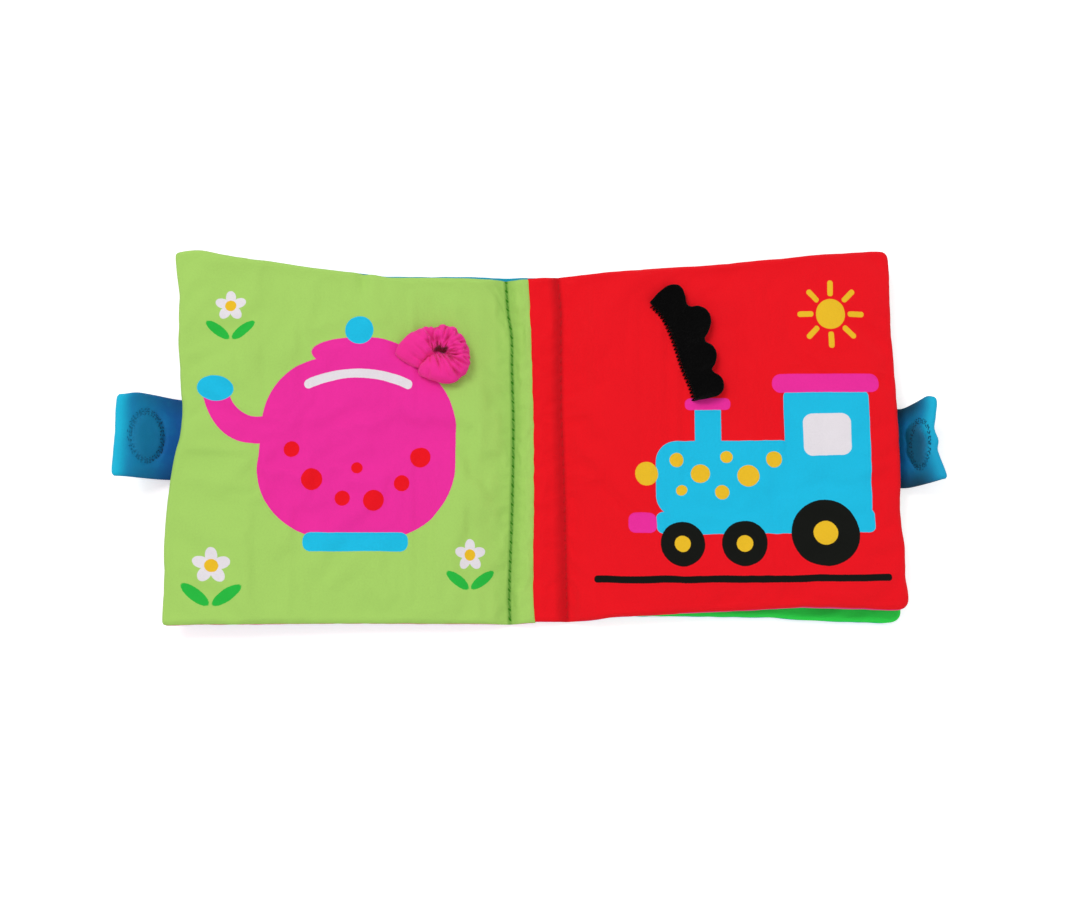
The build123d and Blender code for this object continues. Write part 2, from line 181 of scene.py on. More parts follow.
def addNode(tree, kind, values=(), **settings):
    made = tree.nodes.new(kind)
    for name, value in settings.items():
        setattr(made, name, value)
    for number, value in enumerate(values):
        if isinstance(value, bpy.types.NodeSocket):
            tree.links.new(value, made.inputs[number])
        elif value is not None:
            made.inputs[number].default_value = value
    return made


def maths(tree, operation, *values):
    return addNode(tree, "ShaderNodeMath", values, operation=operation).outputs[0]


def vectors(tree, operation, *values):
    made = addNode(tree, "ShaderNodeVectorMath", values, operation=operation)
    return made.outputs["Value" if operation in ("LENGTH", "DISTANCE") else "Vector"]


def ranged(tree, value, low, high, toLow=0.0, toHigh=1.0, **settings):
    # carries a value from one range to another, and holds it inside that
    return addNode(tree, "ShaderNodeMapRange", [value, low, high, toLow, toHigh], **settings).outputs[0]


def partsOf(tree, places):
    return list(addNode(tree, "ShaderNodeSeparateXYZ", [places]).outputs)


def mixColours(tree, share, first, second):
    made = addNode(tree, "ShaderNodeMix", data_type="RGBA")
    for number, value in ((0, share), (6, first), (7, second)):  # its factor and its two colours
        if isinstance(value, bpy.types.NodeSocket):
            tree.links.new(value, made.inputs[number])
        else:
            made.inputs[number].default_value = value
    return made.outputs[2]


def noiseAt(tree, places, scale, detail=2.0, flat=True):
    made = addNode(tree, "ShaderNodeTexNoise", [places], noise_dimensions="2D" if flat else "3D")
    made.inputs["Scale"].default_value = scale
    made.inputs["Detail"].default_value = detail
    return made.outputs[0]


def newMaterial(name, roughness=0.9, sheen=0.05, specular=0.12):
    material = bpy.data.materials.new(name)
    material.use_nodes = True
    shader = material.node_tree.nodes["Principled BSDF"]
    for label, value in (("Roughness", roughness), ("Sheen Weight", sheen), ("Sheen Roughness", 0.5),
                         ("Specular IOR Level", specular)):
        shader.inputs[label].default_value = value
    return material, material.node_tree, shader


def clothPlaces(tree):
    # the cloth's own flat coordinates, in mm
    flat = addNode(tree, "ShaderNodeUVMap", uv_map="cloth").outputs[0]
    return vectors(tree, "MULTIPLY", flat, (1000, 1000, 0))


def objectPlaces(tree):
    inside = addNode(tree, "ShaderNodeTexCoord").outputs["Object"]
    return vectors(tree, "MULTIPLY", inside, (1000, 1000, 1000))


def addBump(tree, shader, surface, height, strength=0.85):
    bump = addNode(tree, "ShaderNodeBump", [strength, height * mm])
    tree.links.new(surface, bump.inputs["Height"])
    tree.links.new(bump.outputs[0], shader.inputs["Normal"])


def setColour(tree, shader, colour):
    tree.links.new(colour, shader.inputs["Base Color"])


# scale and detail of the noise that each thing wanders by
grain = {
    "threads": (0.9, 2), "lint": (1.3, 4), "dye": (0.045, 4), "ink": (1.3, 2), "needle": (0.3, 2),
    "tapeLightWander": (0.12, 3), "fuzz": (1.1, 3), "felt": (1.1, 6), "tufts": (3.2, 4), "moulded": (4.0, 3),
    "cloudy": (0.4, 3),
}
# weave: pitch, height and unevenness of its threads, and how far dye, threads and lint darken the cloth
weave = {"pitch": 0.62, "height": 0.06, "uneven": 1.4, "lint": 1.1, "dyeShade": 0.07, "threadShade": 0.03,
         "lintShade": 0.13, "allShade": 0.075}


def plainWeave(tree, places, pitch):
    # over-and-under bumps with uneven threads, and a little lint
    x, y, _ = partsOf(tree, places)
    wobble = maths(tree, "MULTIPLY", noiseAt(tree, places, *grain["threads"]), weave["uneven"])
    warp, weft = (maths(tree, "SINE", maths(tree, "MULTIPLY_ADD", way, 2 * math.pi / pitch, wobble))
                  for way in (x, y))
    return maths(tree, "MULTIPLY", warp, weft), noiseAt(tree, places, *grain["lint"])


def makeCloth(name, colour, paint=None, pitch=weave["pitch"], height=weave["height"], **finish):
    material, tree, shader = newMaterial(name, **finish)
    places = clothPlaces(tree)
    crossing, lint = plainWeave(tree, places, pitch)
    addBump(tree, shader, maths(tree, "MULTIPLY_ADD", lint, weave["lint"], crossing), height)
    colour = paint(tree, places, colour) if paint else colour
    shade = maths(tree, "MULTIPLY_ADD", noiseAt(tree, places, *grain["dye"]), -weave["dyeShade"],
                  weave["dyeShade"] / 2 + weave["allShade"])
    shade = maths(tree, "MULTIPLY_ADD", crossing, -weave["threadShade"], shade)
    shade = maths(tree, "MULTIPLY_ADD", lint, -weave["lintShade"], shade)
    setColour(tree, shader, mixColours(tree, maths(tree, "MAXIMUM", shade, 0.0), colour, black))
    return material


# distances to printed shapes, negative inside, in mm

def dot(tree, places, x, y, radius):
    return maths(tree, "SUBTRACT", vectors(tree, "DISTANCE", places, (x, y, 0)), radius)


def turned(tree, places, x, y, turn=0.0, sizes=(1, 1, 1)):
    made = addNode(tree, "ShaderNodeMapping", [places, (x, y, 0), (0, 0, math.radians(turn)), sizes])
    made.vector_type = "TEXTURE"
    return made.outputs[0]


def oval(tree, places, x, y, halfX, halfY, turn=0.0):
    inside = turned(tree, places, x, y, turn, (halfX, halfY, 1))
    least = min(halfX, halfY)
    return maths(tree, "MULTIPLY_ADD", vectors(tree, "LENGTH", inside), least, -least)


def block(tree, places, x, y, width, height, radius=0.3, turn=0.0):
    corner = vectors(tree, "ABSOLUTE", turned(tree, places, x, y, turn))
    past = vectors(tree, "SUBTRACT", corner, (width / 2 - radius, height / 2 - radius, 0))
    past = vectors(tree, "MAXIMUM", past, (0, 0, 0))
    return maths(tree, "SUBTRACT", vectors(tree, "LENGTH", past), radius)


def band(tree, places, x, y, radius, start, sweep, width):
    # part of a ring, with round ends
    inside = turned(tree, places, x, y, start + sweep / 2)
    far = vectors(tree, "LENGTH", inside)
    ring = maths(tree, "SUBTRACT", maths(tree, "ABSOLUTE", maths(tree, "SUBTRACT", far, radius)), width / 2)
    half = math.radians(sweep / 2)
    wedge = maths(tree, "SUBTRACT", maths(tree, "MULTIPLY", far, math.cos(half)), partsOf(tree, inside)[0])
    field = maths(tree, "MAXIMUM", ring, wedge)
    for end in (-half, half):
        cap = dot(tree, inside, radius * math.cos(end), radius * math.sin(end), width / 2)
        field = maths(tree, "MINIMUM", field, cap)
    return field


ink = {"bleed": 0.22, "edge": 0.1}  # how far the threads carry the ink, and half the width of its soft edge


def printed(layers):
    # layers of ink, each a colour and its shapes, the later ones on top
    def paint(tree, places, ground):
        bleed = maths(tree, "MULTIPLY_ADD", noiseAt(tree, places, *grain["ink"]), ink["bleed"],
                      -ink["bleed"] / 2)
        colour = ground
        for dye, shapes in layers:
            field = None
            for shape, *numbers in shapes:
                one = shape(tree, places, *numbers)
                field = one if field is None else maths(tree, "MINIMUM", field, one)
            inked = ranged(tree, maths(tree, "ADD", field, bleed), ink["edge"], -ink["edge"])
            colour = mixColours(tree, inked, colour, dye)
        return colour
    return paint


# running stitch: pitch along the seam, length of thread seen, its thickness, the first and the last place,
# and how far each stitch leans; "slant" and "untidy" lean and shift the painted shade of the needle holes
thread = {"pitch": 4.1, "seen": 2.7, "radius": 0.4, "start": -73.8, "end": 74.0, "lean": 0.26, "slant": 1.3,
          "untidy": 2.2}
# painted shade in the sewing's groove, valley and needle holes: from no shade to full shade, as distances
# out
grooveShade = {"line": (1.6, 0.45), "valley": (-4.6, -1.6), "valleyEnd": (1.2, 0.0), "hole": (0.9, 0.45),
          "holeTurn": (0.2, 0.8)}


def sewn(layers, side, shadow, line, valley, holes):
    # printed cloth with painted shade in its stitch line's groove, spine-side valley and needle holes
    inks = printed(layers)

    def paint(tree, places, ground):
        x, y, _ = partsOf(tree, places)
        out = maths(tree, "MULTIPLY", x, side)
        far = maths(tree, "ABSOLUTE", out)
        # painted shade in the groove along the stitch line and in the valley on the spine's side
        valleyShade = maths(tree, "MULTIPLY", ranged(tree, out, *grooveShade["valley"], 0, valley),
                     ranged(tree, out, *grooveShade["valleyEnd"]))
        shade = maths(tree, "MAXIMUM", ranged(tree, far, *grooveShade["line"], 0, line), valleyShade)
        perMm = 2 * math.pi / thread["pitch"]
        turns = maths(tree, "MULTIPLY_ADD", y, perMm, -perMm * thread["start"] - thread["untidy"] / 2)
        turns = maths(tree, "MULTIPLY_ADD", out, -thread["slant"], turns)
        turns = maths(tree, "MULTIPLY_ADD", noiseAt(tree, places, *grain["needle"]), thread["untidy"], turns)
        # painted shade in the needle holes
        spots = maths(tree, "MULTIPLY", ranged(tree, far, *grooveShade["hole"]),
                      ranged(tree, maths(tree, "COSINE", turns), *grooveShade["holeTurn"], 0, holes))
        shade = maths(tree, "MAXIMUM", shade, spots)
        return mixColours(tree, shade, inks(tree, places, ground), shadow)
    return paint


colours = {
    "lightGreen": srgb(172, 216, 106), "red": srgb(242, 16, 30), "teal": srgb(30, 160, 190),
    # lining: the printed green made brighter, painted light that lifts the strip lying in the page's shadow
    "magenta": srgb(236, 60, 140), "leafGreen": srgb(40, 190, 66), "lining": srgb(50, 230, 82),
    "pink": srgb(243, 46, 162), "sky": srgb(28, 194, 234), "yellow": srgb(242, 194, 40),
    "white": srgb(236, 230, 236), "black": srgb(12, 14, 10), "greenThread": srgb(96, 164, 52),
    # the two groove colours are painted shade for the stitch lines
    "redThread": srgb(214, 16, 26), "greenGrooveShade": srgb(52, 126, 18), "redGrooveShade": srgb(120, 4, 18),
    # the curl's fold and hole colours are painted shade and painted shadow
    "curl": srgb(246, 44, 152), "curlFoldShade": srgb(190, 6, 86), "curlHoleShade": srgb(112, 0, 32),
    # after the plain tape: painted shade by the seam and a painted highlight on the rolled end
    "tape": srgb(0, 134, 188), "tapeSeamShade": srgb(0, 100, 176), "tapeHighlight": srgb(0, 186, 222),
    # painted shade over the fastener and at the sides, then the tab's thread
    "tapeFastenerShade": srgb(0, 112, 152), "tapeShade": srgb(12, 62, 86), "tapeThread": srgb(0, 60, 84),
    "tapeThreadPale": srgb(0, 116, 158), "felt": srgb(7, 7, 7), "disc": srgb(60, 110, 140),
}

# prints: x is measured from the page's stitch line
pot = {
    "x": -66.0, "y": -1.0, "halfX": 42.0, "halfY": 39.0, "corner": 31.0, "lid": (20.0, 7.0), "lidRise": 2.0,
    "knob": 6.0, "knobRise": 12.0, "foot": (44.0, 8.0, 3.5), "footDrop": 1.5, "spoutRadius": 18.0,
    "spoutStart": 185, "spoutSweep": 95, "spoutWidth": 12.0, "spoutOut": 2.0, "spoutUp": 25.0,
    "lip": (8.0, 5.5), "collar": (50.0, 65, 50, 4.0), "collarDrop": 18.0,
    "dots": [(-94, -2, 3.4), (-85, -15, 4.6), (-72, -23, 3.2), (-59, -24, 4.4), (-47, -17, 3.4),
             (-39, -6, 4.4), (-66, -10, 2.4)],
}
# flowers: place and size of each, and their parts as shares of the size
flower = {
    "all": [(-124.0, -52.0, 7.0), (-17.0, -47.0, 6.0), (-121.0, 60.0, 6.0)],
    "petals": 5, "petalOut": 0.62, "petal": (0.5, 0.36), "heart": 0.4,
    "leafOut": 0.9, "leafDown": 1.75, "leaf": (1, 0.36), "leafTurn": 38,
}


def leftLayers():
    x, y, halfX, halfY = pot["x"], pot["y"], pot["halfX"], pot["halfY"]
    spoutX, spoutY = x - halfX - pot["spoutOut"], y + pot["spoutUp"]
    pinkShapes = [(block, x, y, 2 * halfX, 2 * halfY, pot["corner"]),
                  (oval, x, y + halfY + pot["lidRise"], *pot["lid"]),
                  (band, spoutX, spoutY, pot["spoutRadius"], pot["spoutStart"], pot["spoutSweep"],
                   pot["spoutWidth"])]
    blueShapes = [(dot, x, y + halfY + pot["knobRise"], pot["knob"]),
                  (block, x, y - halfY - pot["footDrop"], *pot["foot"]),
                  (oval, spoutX - pot["spoutRadius"], spoutY, *pot["lip"])]
    collar = (band, x, y - pot["collarDrop"], *pot["collar"])
    leaflets, petals, hearts = [], [], []
    for midX, midY, size in flower["all"]:
        long, short = (part * size for part in flower["leaf"])
        for way in (-1, 1):
            leaflets.append((oval, midX + way * flower["leafOut"] * size, midY - flower["leafDown"] * size,
                             long, short, flower["leafTurn"] * way))
        for number in range(flower["petals"]):
            turn = 90 + 360 / flower["petals"] * number
            far, angle = flower["petalOut"] * size, math.radians(turn)
            petals.append((oval, midX + far * math.cos(angle), midY + far * math.sin(angle),
                           *(part * size for part in flower["petal"]), turn))
        hearts.append((dot, midX, midY, flower["heart"] * size))
    return [(colours["leafGreen"], leaflets), (colours["pink"], pinkShapes), (colours["sky"], blueShapes),
            (colours["white"], [collar] + petals), (colours["red"], [(dot, *row) for row in pot["dots"]]),
            (colours["yellow"], hearts)]


engine = {
    "x": 71.0, "y": -14.0,
    # blocks of each ink: place from the boiler's middle, width, height and corner
    "sky": [(0, 0, 62, 32, 9), (42, 10, 36, 54, 3), (-8.5, 22, 11, 20, 1.5), (15, -19, 92, 10, 3)],
    "pink": [(42, 40, 46, 8, 3.8), (-8.5, 31.5, 19, 5, 2.2), (-37, -19, 12, 9, 3)],
    "white": [(42, 18, 20, 18, 4)],
    "black": [(4, -43, 124, 3, 1.4)],
    "lamp": (-35, 2, 5), "hub": 0.36,
    "wheels": [(51, -42, 9.5), (77, -42, 9.5), (111, -38, 14.0)],
    "dots": [(49, -6, 3.0), (59, -12, 4.0), (70, -5, 2.6), (79, -13, 4.6), (90, -6, 3.4),
             (51, -19, 2.4), (68, -20, 3.0)],
}
sun = {"x": 117.0, "y": 56.0, "core": 6.5, "rayFar": 11.2, "ray": (7, 2.4, 1.1), "rays": 8}


def rightLayers():
    x, y = engine["x"], engine["y"]
    shapes = {name: [(block, x + right, y + up, *sizes) for right, up, *sizes in engine[name]]
              for name in ("sky", "pink", "white", "black")}
    shapes["black"] += [(dot, *wheel) for wheel in engine["wheels"]]
    lampX, lampY, lampSize = engine["lamp"]
    shapes["yellow"] = [(dot, wheelX, wheelY, engine["hub"] * size)
                        for wheelX, wheelY, size in engine["wheels"]]
    shapes["yellow"] += [(dot, *row) for row in engine["dots"]]
    shapes["yellow"] += [(dot, sun["x"], sun["y"], sun["core"]), (dot, x + lampX, y + lampY, lampSize)]
    for number in range(sun["rays"]):
        angle = 2 * math.pi * number / sun["rays"]
        rayX, rayY = sun["rayFar"] * math.cos(angle), sun["rayFar"] * math.sin(angle)
        shapes["yellow"].append((block, sun["x"] + rayX, sun["y"] + rayY, *sun["ray"], math.degrees(angle)))
    return [(colours[name], shapes[name]) for name in ("sky", "pink", "white", "black", "yellow")]


# sewing thread: pitch and height of its twist, how dark it gets, and where the tabs' thread turns paler
twist = {"pitch": 0.55, "height": 0.05, "shade": 0.12, "allShade": 0.14, "paleFrom": 162, "paleTo": 170}


def makeThread(name, colour, specular=0.25, outer=None):
    # cotton thread: a fine twist, seen as a slanting ripple
    material, tree, shader = newMaterial(name, roughness=0.75, sheen=0.0, specular=specular)
    x, y, z = partsOf(tree, objectPlaces(tree))
    slant = maths(tree, "ADD", maths(tree, "ADD", x, y), z)
    ripple = maths(tree, "SINE", maths(tree, "MULTIPLY", slant, 2 * math.pi / twist["pitch"]))
    addBump(tree, shader, ripple, twist["height"])
    if outer:
        # paler towards the tab's folded end
        paler = ranged(tree, maths(tree, "ABSOLUTE", x), twist["paleFrom"], twist["paleTo"])
        colour = mixColours(tree, paler, colour, outer)
    shade = maths(tree, "MULTIPLY_ADD", ripple, twist["shade"], twist["allShade"])
    setColour(tree, shader, mixColours(tree, shade, colour, black))
    return material


# heights of the felt's fibres and of the plastic's skin, and how dark the plastic gets
skins = {"feltHeight": 0.5, "plasticHeight": 0.02, "plasticShade": 0.2}


def makeFelt(name, colour):
    material, tree, shader = newMaterial(name, roughness=1.0, sheen=0.06, specular=0.02)
    places = objectPlaces(tree)
    fibres = maths(tree, "ADD", noiseAt(tree, places, *grain["felt"], flat=False),
                   noiseAt(tree, places, *grain["tufts"], flat=False))
    addBump(tree, shader, fibres, skins["feltHeight"], 1.0)
    setColour(tree, shader, mixColours(tree, maths(tree, "MULTIPLY", fibres, 0.5), black, colour))
    return material


def makePlastic(name, colour):
    material, tree, shader = newMaterial(name, roughness=0.45, sheen=0.0, specular=0.4)
    places = objectPlaces(tree)
    addBump(tree, shader, noiseAt(tree, places, *grain["moulded"], flat=False), skins["plasticHeight"])
    shade = maths(tree, "MULTIPLY", noiseAt(tree, places, *grain["cloudy"], flat=False),
                  skins["plasticShade"])
    setColour(tree, shader, mixColours(tree, shade, colour, black))
    return material


def kept(tree, label):
    return addNode(tree, "ShaderNodeAttribute", attribute_name=label).outputs["Fac"]


# painted shade and fuzz, by the values that a mesh keeps: from none to full, and how strong it gets; the
# noise in the tape's painted light and shade has a factor and a shift
shadeAndFuzz = {"fold": (0.2, 0.9, 0, 0.7), "deep": (0.1, 0.7), "fuzz": (0.38, 0.62, 0, 0.5), "wander": (0.3, -0.15)}


def curlShade(tree, places, ground):
    # painted shade in the folds, by their depth, and painted shadow down in the hole
    fold = ranged(tree, kept(tree, "fold"), *shadeAndFuzz["fold"])
    colour = mixColours(tree, fold, ground, colours["curlFoldShade"])
    return mixColours(tree, kept(tree, "hole"), colour, colours["curlHoleShade"])


def tapeLightShadeAndFuzz(tree, places, ground):
    # painted shade towards the seam, where the page shades it, and a painted highlight on the rolled end
    wander = maths(tree, "MULTIPLY_ADD", noiseAt(tree, places, *grain["tapeLightWander"]), *shadeAndFuzz["wander"])
    deep = ranged(tree, maths(tree, "ADD", kept(tree, "share"), wander), *shadeAndFuzz["deep"],
                  interpolation_type="SMOOTHSTEP")
    colour = mixColours(tree, deep, colours["tapeSeamShade"], ground)
    colour = mixColours(tree, maths(tree, "ADD", kept(tree, "pale"), wander), colour, colours["tapeHighlight"])
    # painted shade over the fastener and towards the sides, and fuzz along the stitches
    colour = mixColours(tree, kept(tree, "worn"), colour, colours["tapeFastenerShade"])
    dusk = kept(tree, "dusk")
    dusk = maths(tree, "MULTIPLY_ADD", wander, dusk, dusk)
    colour = mixColours(tree, dusk, colour, colours["tapeShade"])
    fuzz = ranged(tree, noiseAt(tree, places, *grain["fuzz"]), *shadeAndFuzz["fuzz"])
    fuzz = maths(tree, "MULTIPLY", fuzz, kept(tree, "band"))
    return mixColours(tree, fuzz, colour, colours["tapeThread"])


# line, valley and holes: strengths of the painted shade along each stitch line
leftFront = makeCloth("light green cotton", colours["lightGreen"],
                      sewn(leftLayers(), -1, colours["greenGrooveShade"], line=0.55, valley=0.2, holes=1.0))
rightFront = makeCloth("red cotton", colours["red"],
                       sewn(rightLayers(), 1, colours["redGrooveShade"], line=0.25, valley=0.34, holes=0.35))
pageBack = makeCloth("magenta cotton", colours["magenta"])
tealCotton = makeCloth("teal cotton", colours["teal"])
greenCotton = makeCloth("bright green cotton", colours["lining"])
curlCotton = makeCloth("gathered pink cotton", colours["curl"], curlShade, pitch=0.5, height=0.04,
                       sheen=0.15, roughness=0.8)
tapeCloth = makeCloth("teal tape", colours["tape"], tapeLightShadeAndFuzz, pitch=0.45, height=0.04, sheen=0.0,
                      roughness=0.6, specular=0.25)
greenThread = makeThread("green thread", colours["greenThread"])
redThread = makeThread("red thread", colours["redThread"])
tapeThread = makeThread("teal thread", colours["tapeThread"], outer=colours["tapeThreadPale"])
blackThread = makeThread("black thread", colours["felt"], specular=0.04)
blackFelt = makeFelt("black felt", colours["felt"])
softPlastic = makePlastic("soft plastic", colours["disc"])
print("materials made")


# padded leaves

heights = {
    "puff": [(0, 0), (1.2, 0.04), (3, 0.2), (7, 0.55), (14, 0.9), (24, 1)],  # out from a stitch line
    "strip": [(0, 0), (1.2, 0.04), (3, 0.2), (6.5, 0.46), (8.5, 0.5), (11, 0.38)],  # in over the spine
    "lift": [(0.17, 0), (0.35, 0.12), (0.6, 0.5), (0.8, 1)],  # share of width, share of pageLift
    "coverPad": 4.6, "pagePad": 5.0, "pinch": 1.2, "pageLift": 4.5, "drawnUp": 0.45, "clear": 0.02,
}
spread = {"spine": 11.0, "leaf": 143.8, "cover": 142.3, "height": 150.0}
# x of each row of stitches, and of the seam between the two page cloths, at heights up the page
seams = {
    "left": [(-74.4, -11.35), (-65.4, -11.85), (-51.4, -11.45), (-29.4, -10.65), (-7.4, -10.25),
             (12.6, -10.15), (33.6, -10.85), (50, -10.85), (59, -12.65), (72.6, -13.55)],
    "middle": [(-74.4, -0.85), (-65.4, -1.65), (-29.4, -1.35), (3.6, -1.35), (39.6, -2.15), (75.6, -3.65)],
    "right": [(-73.4, 13.05), (-65.4, 12.75), (-12.4, 11.65), (16.6, 10.45), (61.6, 10.55), (70.6, 9.65),
              (74.6, 9.05)],
}


def stitchAt(side, y):
    return soft(seams["left" if side < 0 else "right"], y, 4.0) * side


def puffAt(across):
    out = across - spread["spine"]
    return np.where(out >= 0, soft(heights["puff"], out, 0.8), soft(heights["strip"], -out, 0.6))


def coverTop(across):
    return heights["pinch"] + (heights["coverPad"] - heights["pinch"]) * puffAt(across)


def pageFloor(across):
    share = (across - spread["spine"]) / spread["leaf"]
    return coverTop(across) + heights["pageLift"] * soft(heights["lift"], share, 0.05)


def pageTop(across):
    return pageFloor(across) + heights["pinch"] + (heights["pagePad"] - heights["pinch"]) * puffAt(across)


def coverFloor(across):
    # the underside lies flat on the table, drawn up a little at the stitches
    return heights["drawnUp"] * hump(across, spread["spine"], shaping["pinchReach"]) + heights["clear"]


# Edges: share of the width, or of the height, and how far the edge stands out past the plain rectangle.
# Radius: of the bottom outer corner and of the top one.
leaves = {
    "leftPage": {
        "side": -1, "width": spread["leaf"], "floor": pageFloor, "top": pageTop, "radius": (1.8, 1.8),
        "topEdge": [(-0.1, -0.2), (0, -0.5), (0.36, -0.6), (0.57, 3.1), (0.81, 7.5), (0.93, 11.2),
                    (1, 9.6)],
        "bottomEdge": [(-0.1, 0.7), (-0.06, 0.9), (0, 1.5), (0.05, 1.5), (0.5, 1.4), (1, 2.5)],
        "outerEdge": [(0, 2.6), (0.13, 2.4), (0.23, 3.05), (0.36, 1.85), (0.444, -0.05), (0.504, -2.35),
                      (0.564, -3.05), (0.6, -2.3), (0.744, -0.3), (0.877, 0.2), (0.957, 2.0), (1, 2.6)],
        "wave": 0.22, "seed": 1, "front": leftFront, "back": pageBack,
    },
    "rightPage": {
        "side": 1, "width": spread["leaf"], "floor": pageFloor, "top": pageTop, "radius": (4.6, 3.0),
        "topEdge": [(-0.07, 0.2), (0, 1.3), (0.06, 1.4), (0.34, 4.2), (0.43, 4.7), (0.63, 7.0), (0.77, 8.6),
                    (0.96, 10.3), (1, 9.8)],
        "bottomEdge": [(-0.02, 0.3), (0.08, 0), (0.16, -1.6), (0.24, -2.0), (0.29, -2.4), (0.36, -3.0),
                       (0.42, -3.3), (0.71, -5.1), (0.83, -4.6), (0.95, -3.7), (1, -3.9)],
        "outerEdge": [(0, 1.6), (0.045, 2.1), (0.085, 0.8), (0.177, 0.8), (0.257, -0.45), (0.377, 0.15),
                      (0.524, -0.15), (0.644, -0.85), (0.764, -1.95), (0.937, -1.95), (1, -2.6)],
        "wave": 0.22, "seed": 2, "front": rightFront, "back": pageBack,
    },
    "leftCover": {
        "side": -1, "width": spread["cover"], "floor": coverFloor, "top": coverTop, "radius": (5.0, 5.0),
        "topEdge": [(0, 1.2), (0.1, 1.4), (0.24, 1.3), (0.39, 1.6), (0.55, 4.3), (0.7, 6.6), (0.82, 9.2),
                    (1, 8.4)],
        "bottomEdge": [(0, -0.6), (0.5, -0.6), (1, 0.2)],
        "outerEdge": [(0, 0.6), (0.5, -1.5), (1, -0.6)],
        "wave": 0.2, "seed": 3, "front": tealCotton, "back": tealCotton,
    },
    "rightCover": {
        "side": 1, "width": spread["cover"], "floor": coverFloor, "top": coverTop, "radius": (4.0, 3.5),
        "topEdge": [(0, 0), (0.35, 2.4), (0.8, 6.4), (1, 7)],
        "bottomEdge": [(0, -0.8), (0.08, -1.3), (0.16, -2.5), (0.24, -2.2), (0.42, -2.1), (0.62, -1.7),
                       (0.72, -0.4), (0.91, 0.6), (0.955, 0.9), (1, -0.3)],
        "outerEdge": [(0, 1.6), (1, -1.6)],
        "wave": 0.2, "seed": 4, "front": greenCotton, "back": tealCotton,
    },
}

# cells of the padded leaves: the widest ones, the columns beside the spine, turns round the rim, the first
# places past the rim, and how far in from the outer edge and from the ends the cells stay close together
cells = {
    "pageStep": 2.3, "coverStep": 3.4, "rimTurns": (0, 22, 44, 66, 90), "pastRim": (1.5, 3.5, 6.0, 9.0),
    "spine": [0, 1, 2.5, 4, 5.5, 7, 8.2, 9.2, 10, 10.6, 11, 11.4, 12, 12.8, 14, 15.5, 17.5, 19.5, 22],
    "outer": 30, "ends": 20,
}
# how far the stitches and the middle seam shift the cloth beside them, half the width that the stitches
# pinch, how the rim is drawn in and wanders, and the waves of the page
shaping = {
    "round": 0.02, "leanFrom": 0.55, "stitchReach": 7, "middleReach": 9, "press": 0.45, "pressReach": 1.5,
    "pinchReach": 1.2, "rimDraw": 0.35, "longWave": 22, "shortWave": 8, "shortShare": 0.35,
    "waveReach": 9, "swell": 2.4, "swellWave": 30, "swellReach": 16,
}


def edgeSteps(half, reach, step):
    # distances in from an edge: close together round the rim, then wider
    rim = [half * (1 - math.cos(math.radians(angle))) for angle in cells["rimTurns"]]
    *near, wide = (half + past for past in cells["pastRim"])
    return rim + near + list(np.arange(wide, reach, step))


def layeredGrid(countX, countY, openStart=False):
    # two layers of cells joined round their rim; each point keeps its column, its row and its layer
    bm = bmesh.new()
    bmesh.ops.create_grid(bm, x_segments=countX - 1, y_segments=countY - 1, size=1)
    lastX, lastY = countX - 1, countY - 1
    for vert in bm.verts:
        i, j = round((vert.co.x + 1) / 2 * lastX), round((vert.co.y + 1) / 2 * lastY)
        rim = i == lastX or j in (0, lastY) or (i == 0 and not openStart)
        vert.co = (i, j, 0 if rim else 1)
    bmesh.ops.mirror(bm, geom=bm.verts[:] + bm.edges[:] + bm.faces[:], axis="Z", merge_dist=0.01)
    for face in bm.faces:
        face.material_index = 0 if face.calc_center_median().z > 0 else 1
    if openStart:
        rows = [edge for edge in bm.edges
                if edge.is_boundary and abs(edge.verts[0].co.z + edge.verts[1].co.z) > 1.5]
        bmesh.ops.bridge_loops(bm, edges=rows)
    closeHoles(bm)
    return bm


def gridOf(mesh):
    grid = getPoints(mesh).round()
    return grid[:, 0].astype(int), grid[:, 1].astype(int), np.sign(grid[:, 2])


def keepFlat(mesh, flatX, flatY):
    # the cloth's flat coordinates, as a UV map in metres
    loops = np.zeros(len(mesh.loops), int)
    mesh.loops.foreach_get("vertex_index", loops)
    layer = mesh.uv_layers.new(name="cloth")
    layer.data.foreach_set("uv", (np.stack([flatX, flatY], 1)[loops] * mm).ravel())


def keepValues(mesh, **values):
    for label, numbers in values.items():
        mesh.attributes.new(label, "FLOAT", "POINT").data.foreach_set("value", numbers.astype(np.float32))


def readValues(mesh, *labels):
    found = []
    for label in labels:
        values = np.zeros(len(mesh.vertices), np.float32)
        mesh.attributes[label].data.foreach_get("value", values)
        found.append(values.astype(float))
    return found


def buildPad(name, leaf):
    page = "Page" in name
    step = cells["pageStep" if page else "coverStep"]
    half = heights["pagePad" if page else "coverPad"] / 2
    far = spread["spine"] + leaf["width"]
    inner = cells["spine"]
    outer = [far - inwards for inwards in edgeSteps(half, cells["outer"], step)]
    middle = np.linspace(inner[-1], outer[-1], round((outer[-1] - inner[-1]) / step) + 1)[1:-1]
    columns = inner + list(middle) + outer[::-1]
    ends = edgeSteps(half, cells["ends"], step)
    count = round((spread["height"] - 2 * ends[-1]) / step) + 1
    centre = np.linspace(ends[-1], spread["height"] - ends[-1], count)[1:-1]
    rows = ends + list(centre) + [spread["height"] - inwards for inwards in ends[::-1]]
    mesh = meshFrom(layeredGrid(len(columns), len(rows), openStart=True), name)
    i, j, layer = gridOf(mesh)
    placePad(mesh, page, leaf, half, np.array(columns)[i], np.array(rows)[j], layer)
    return addPiece(name, mesh, leaf["front"], leaf["back"])


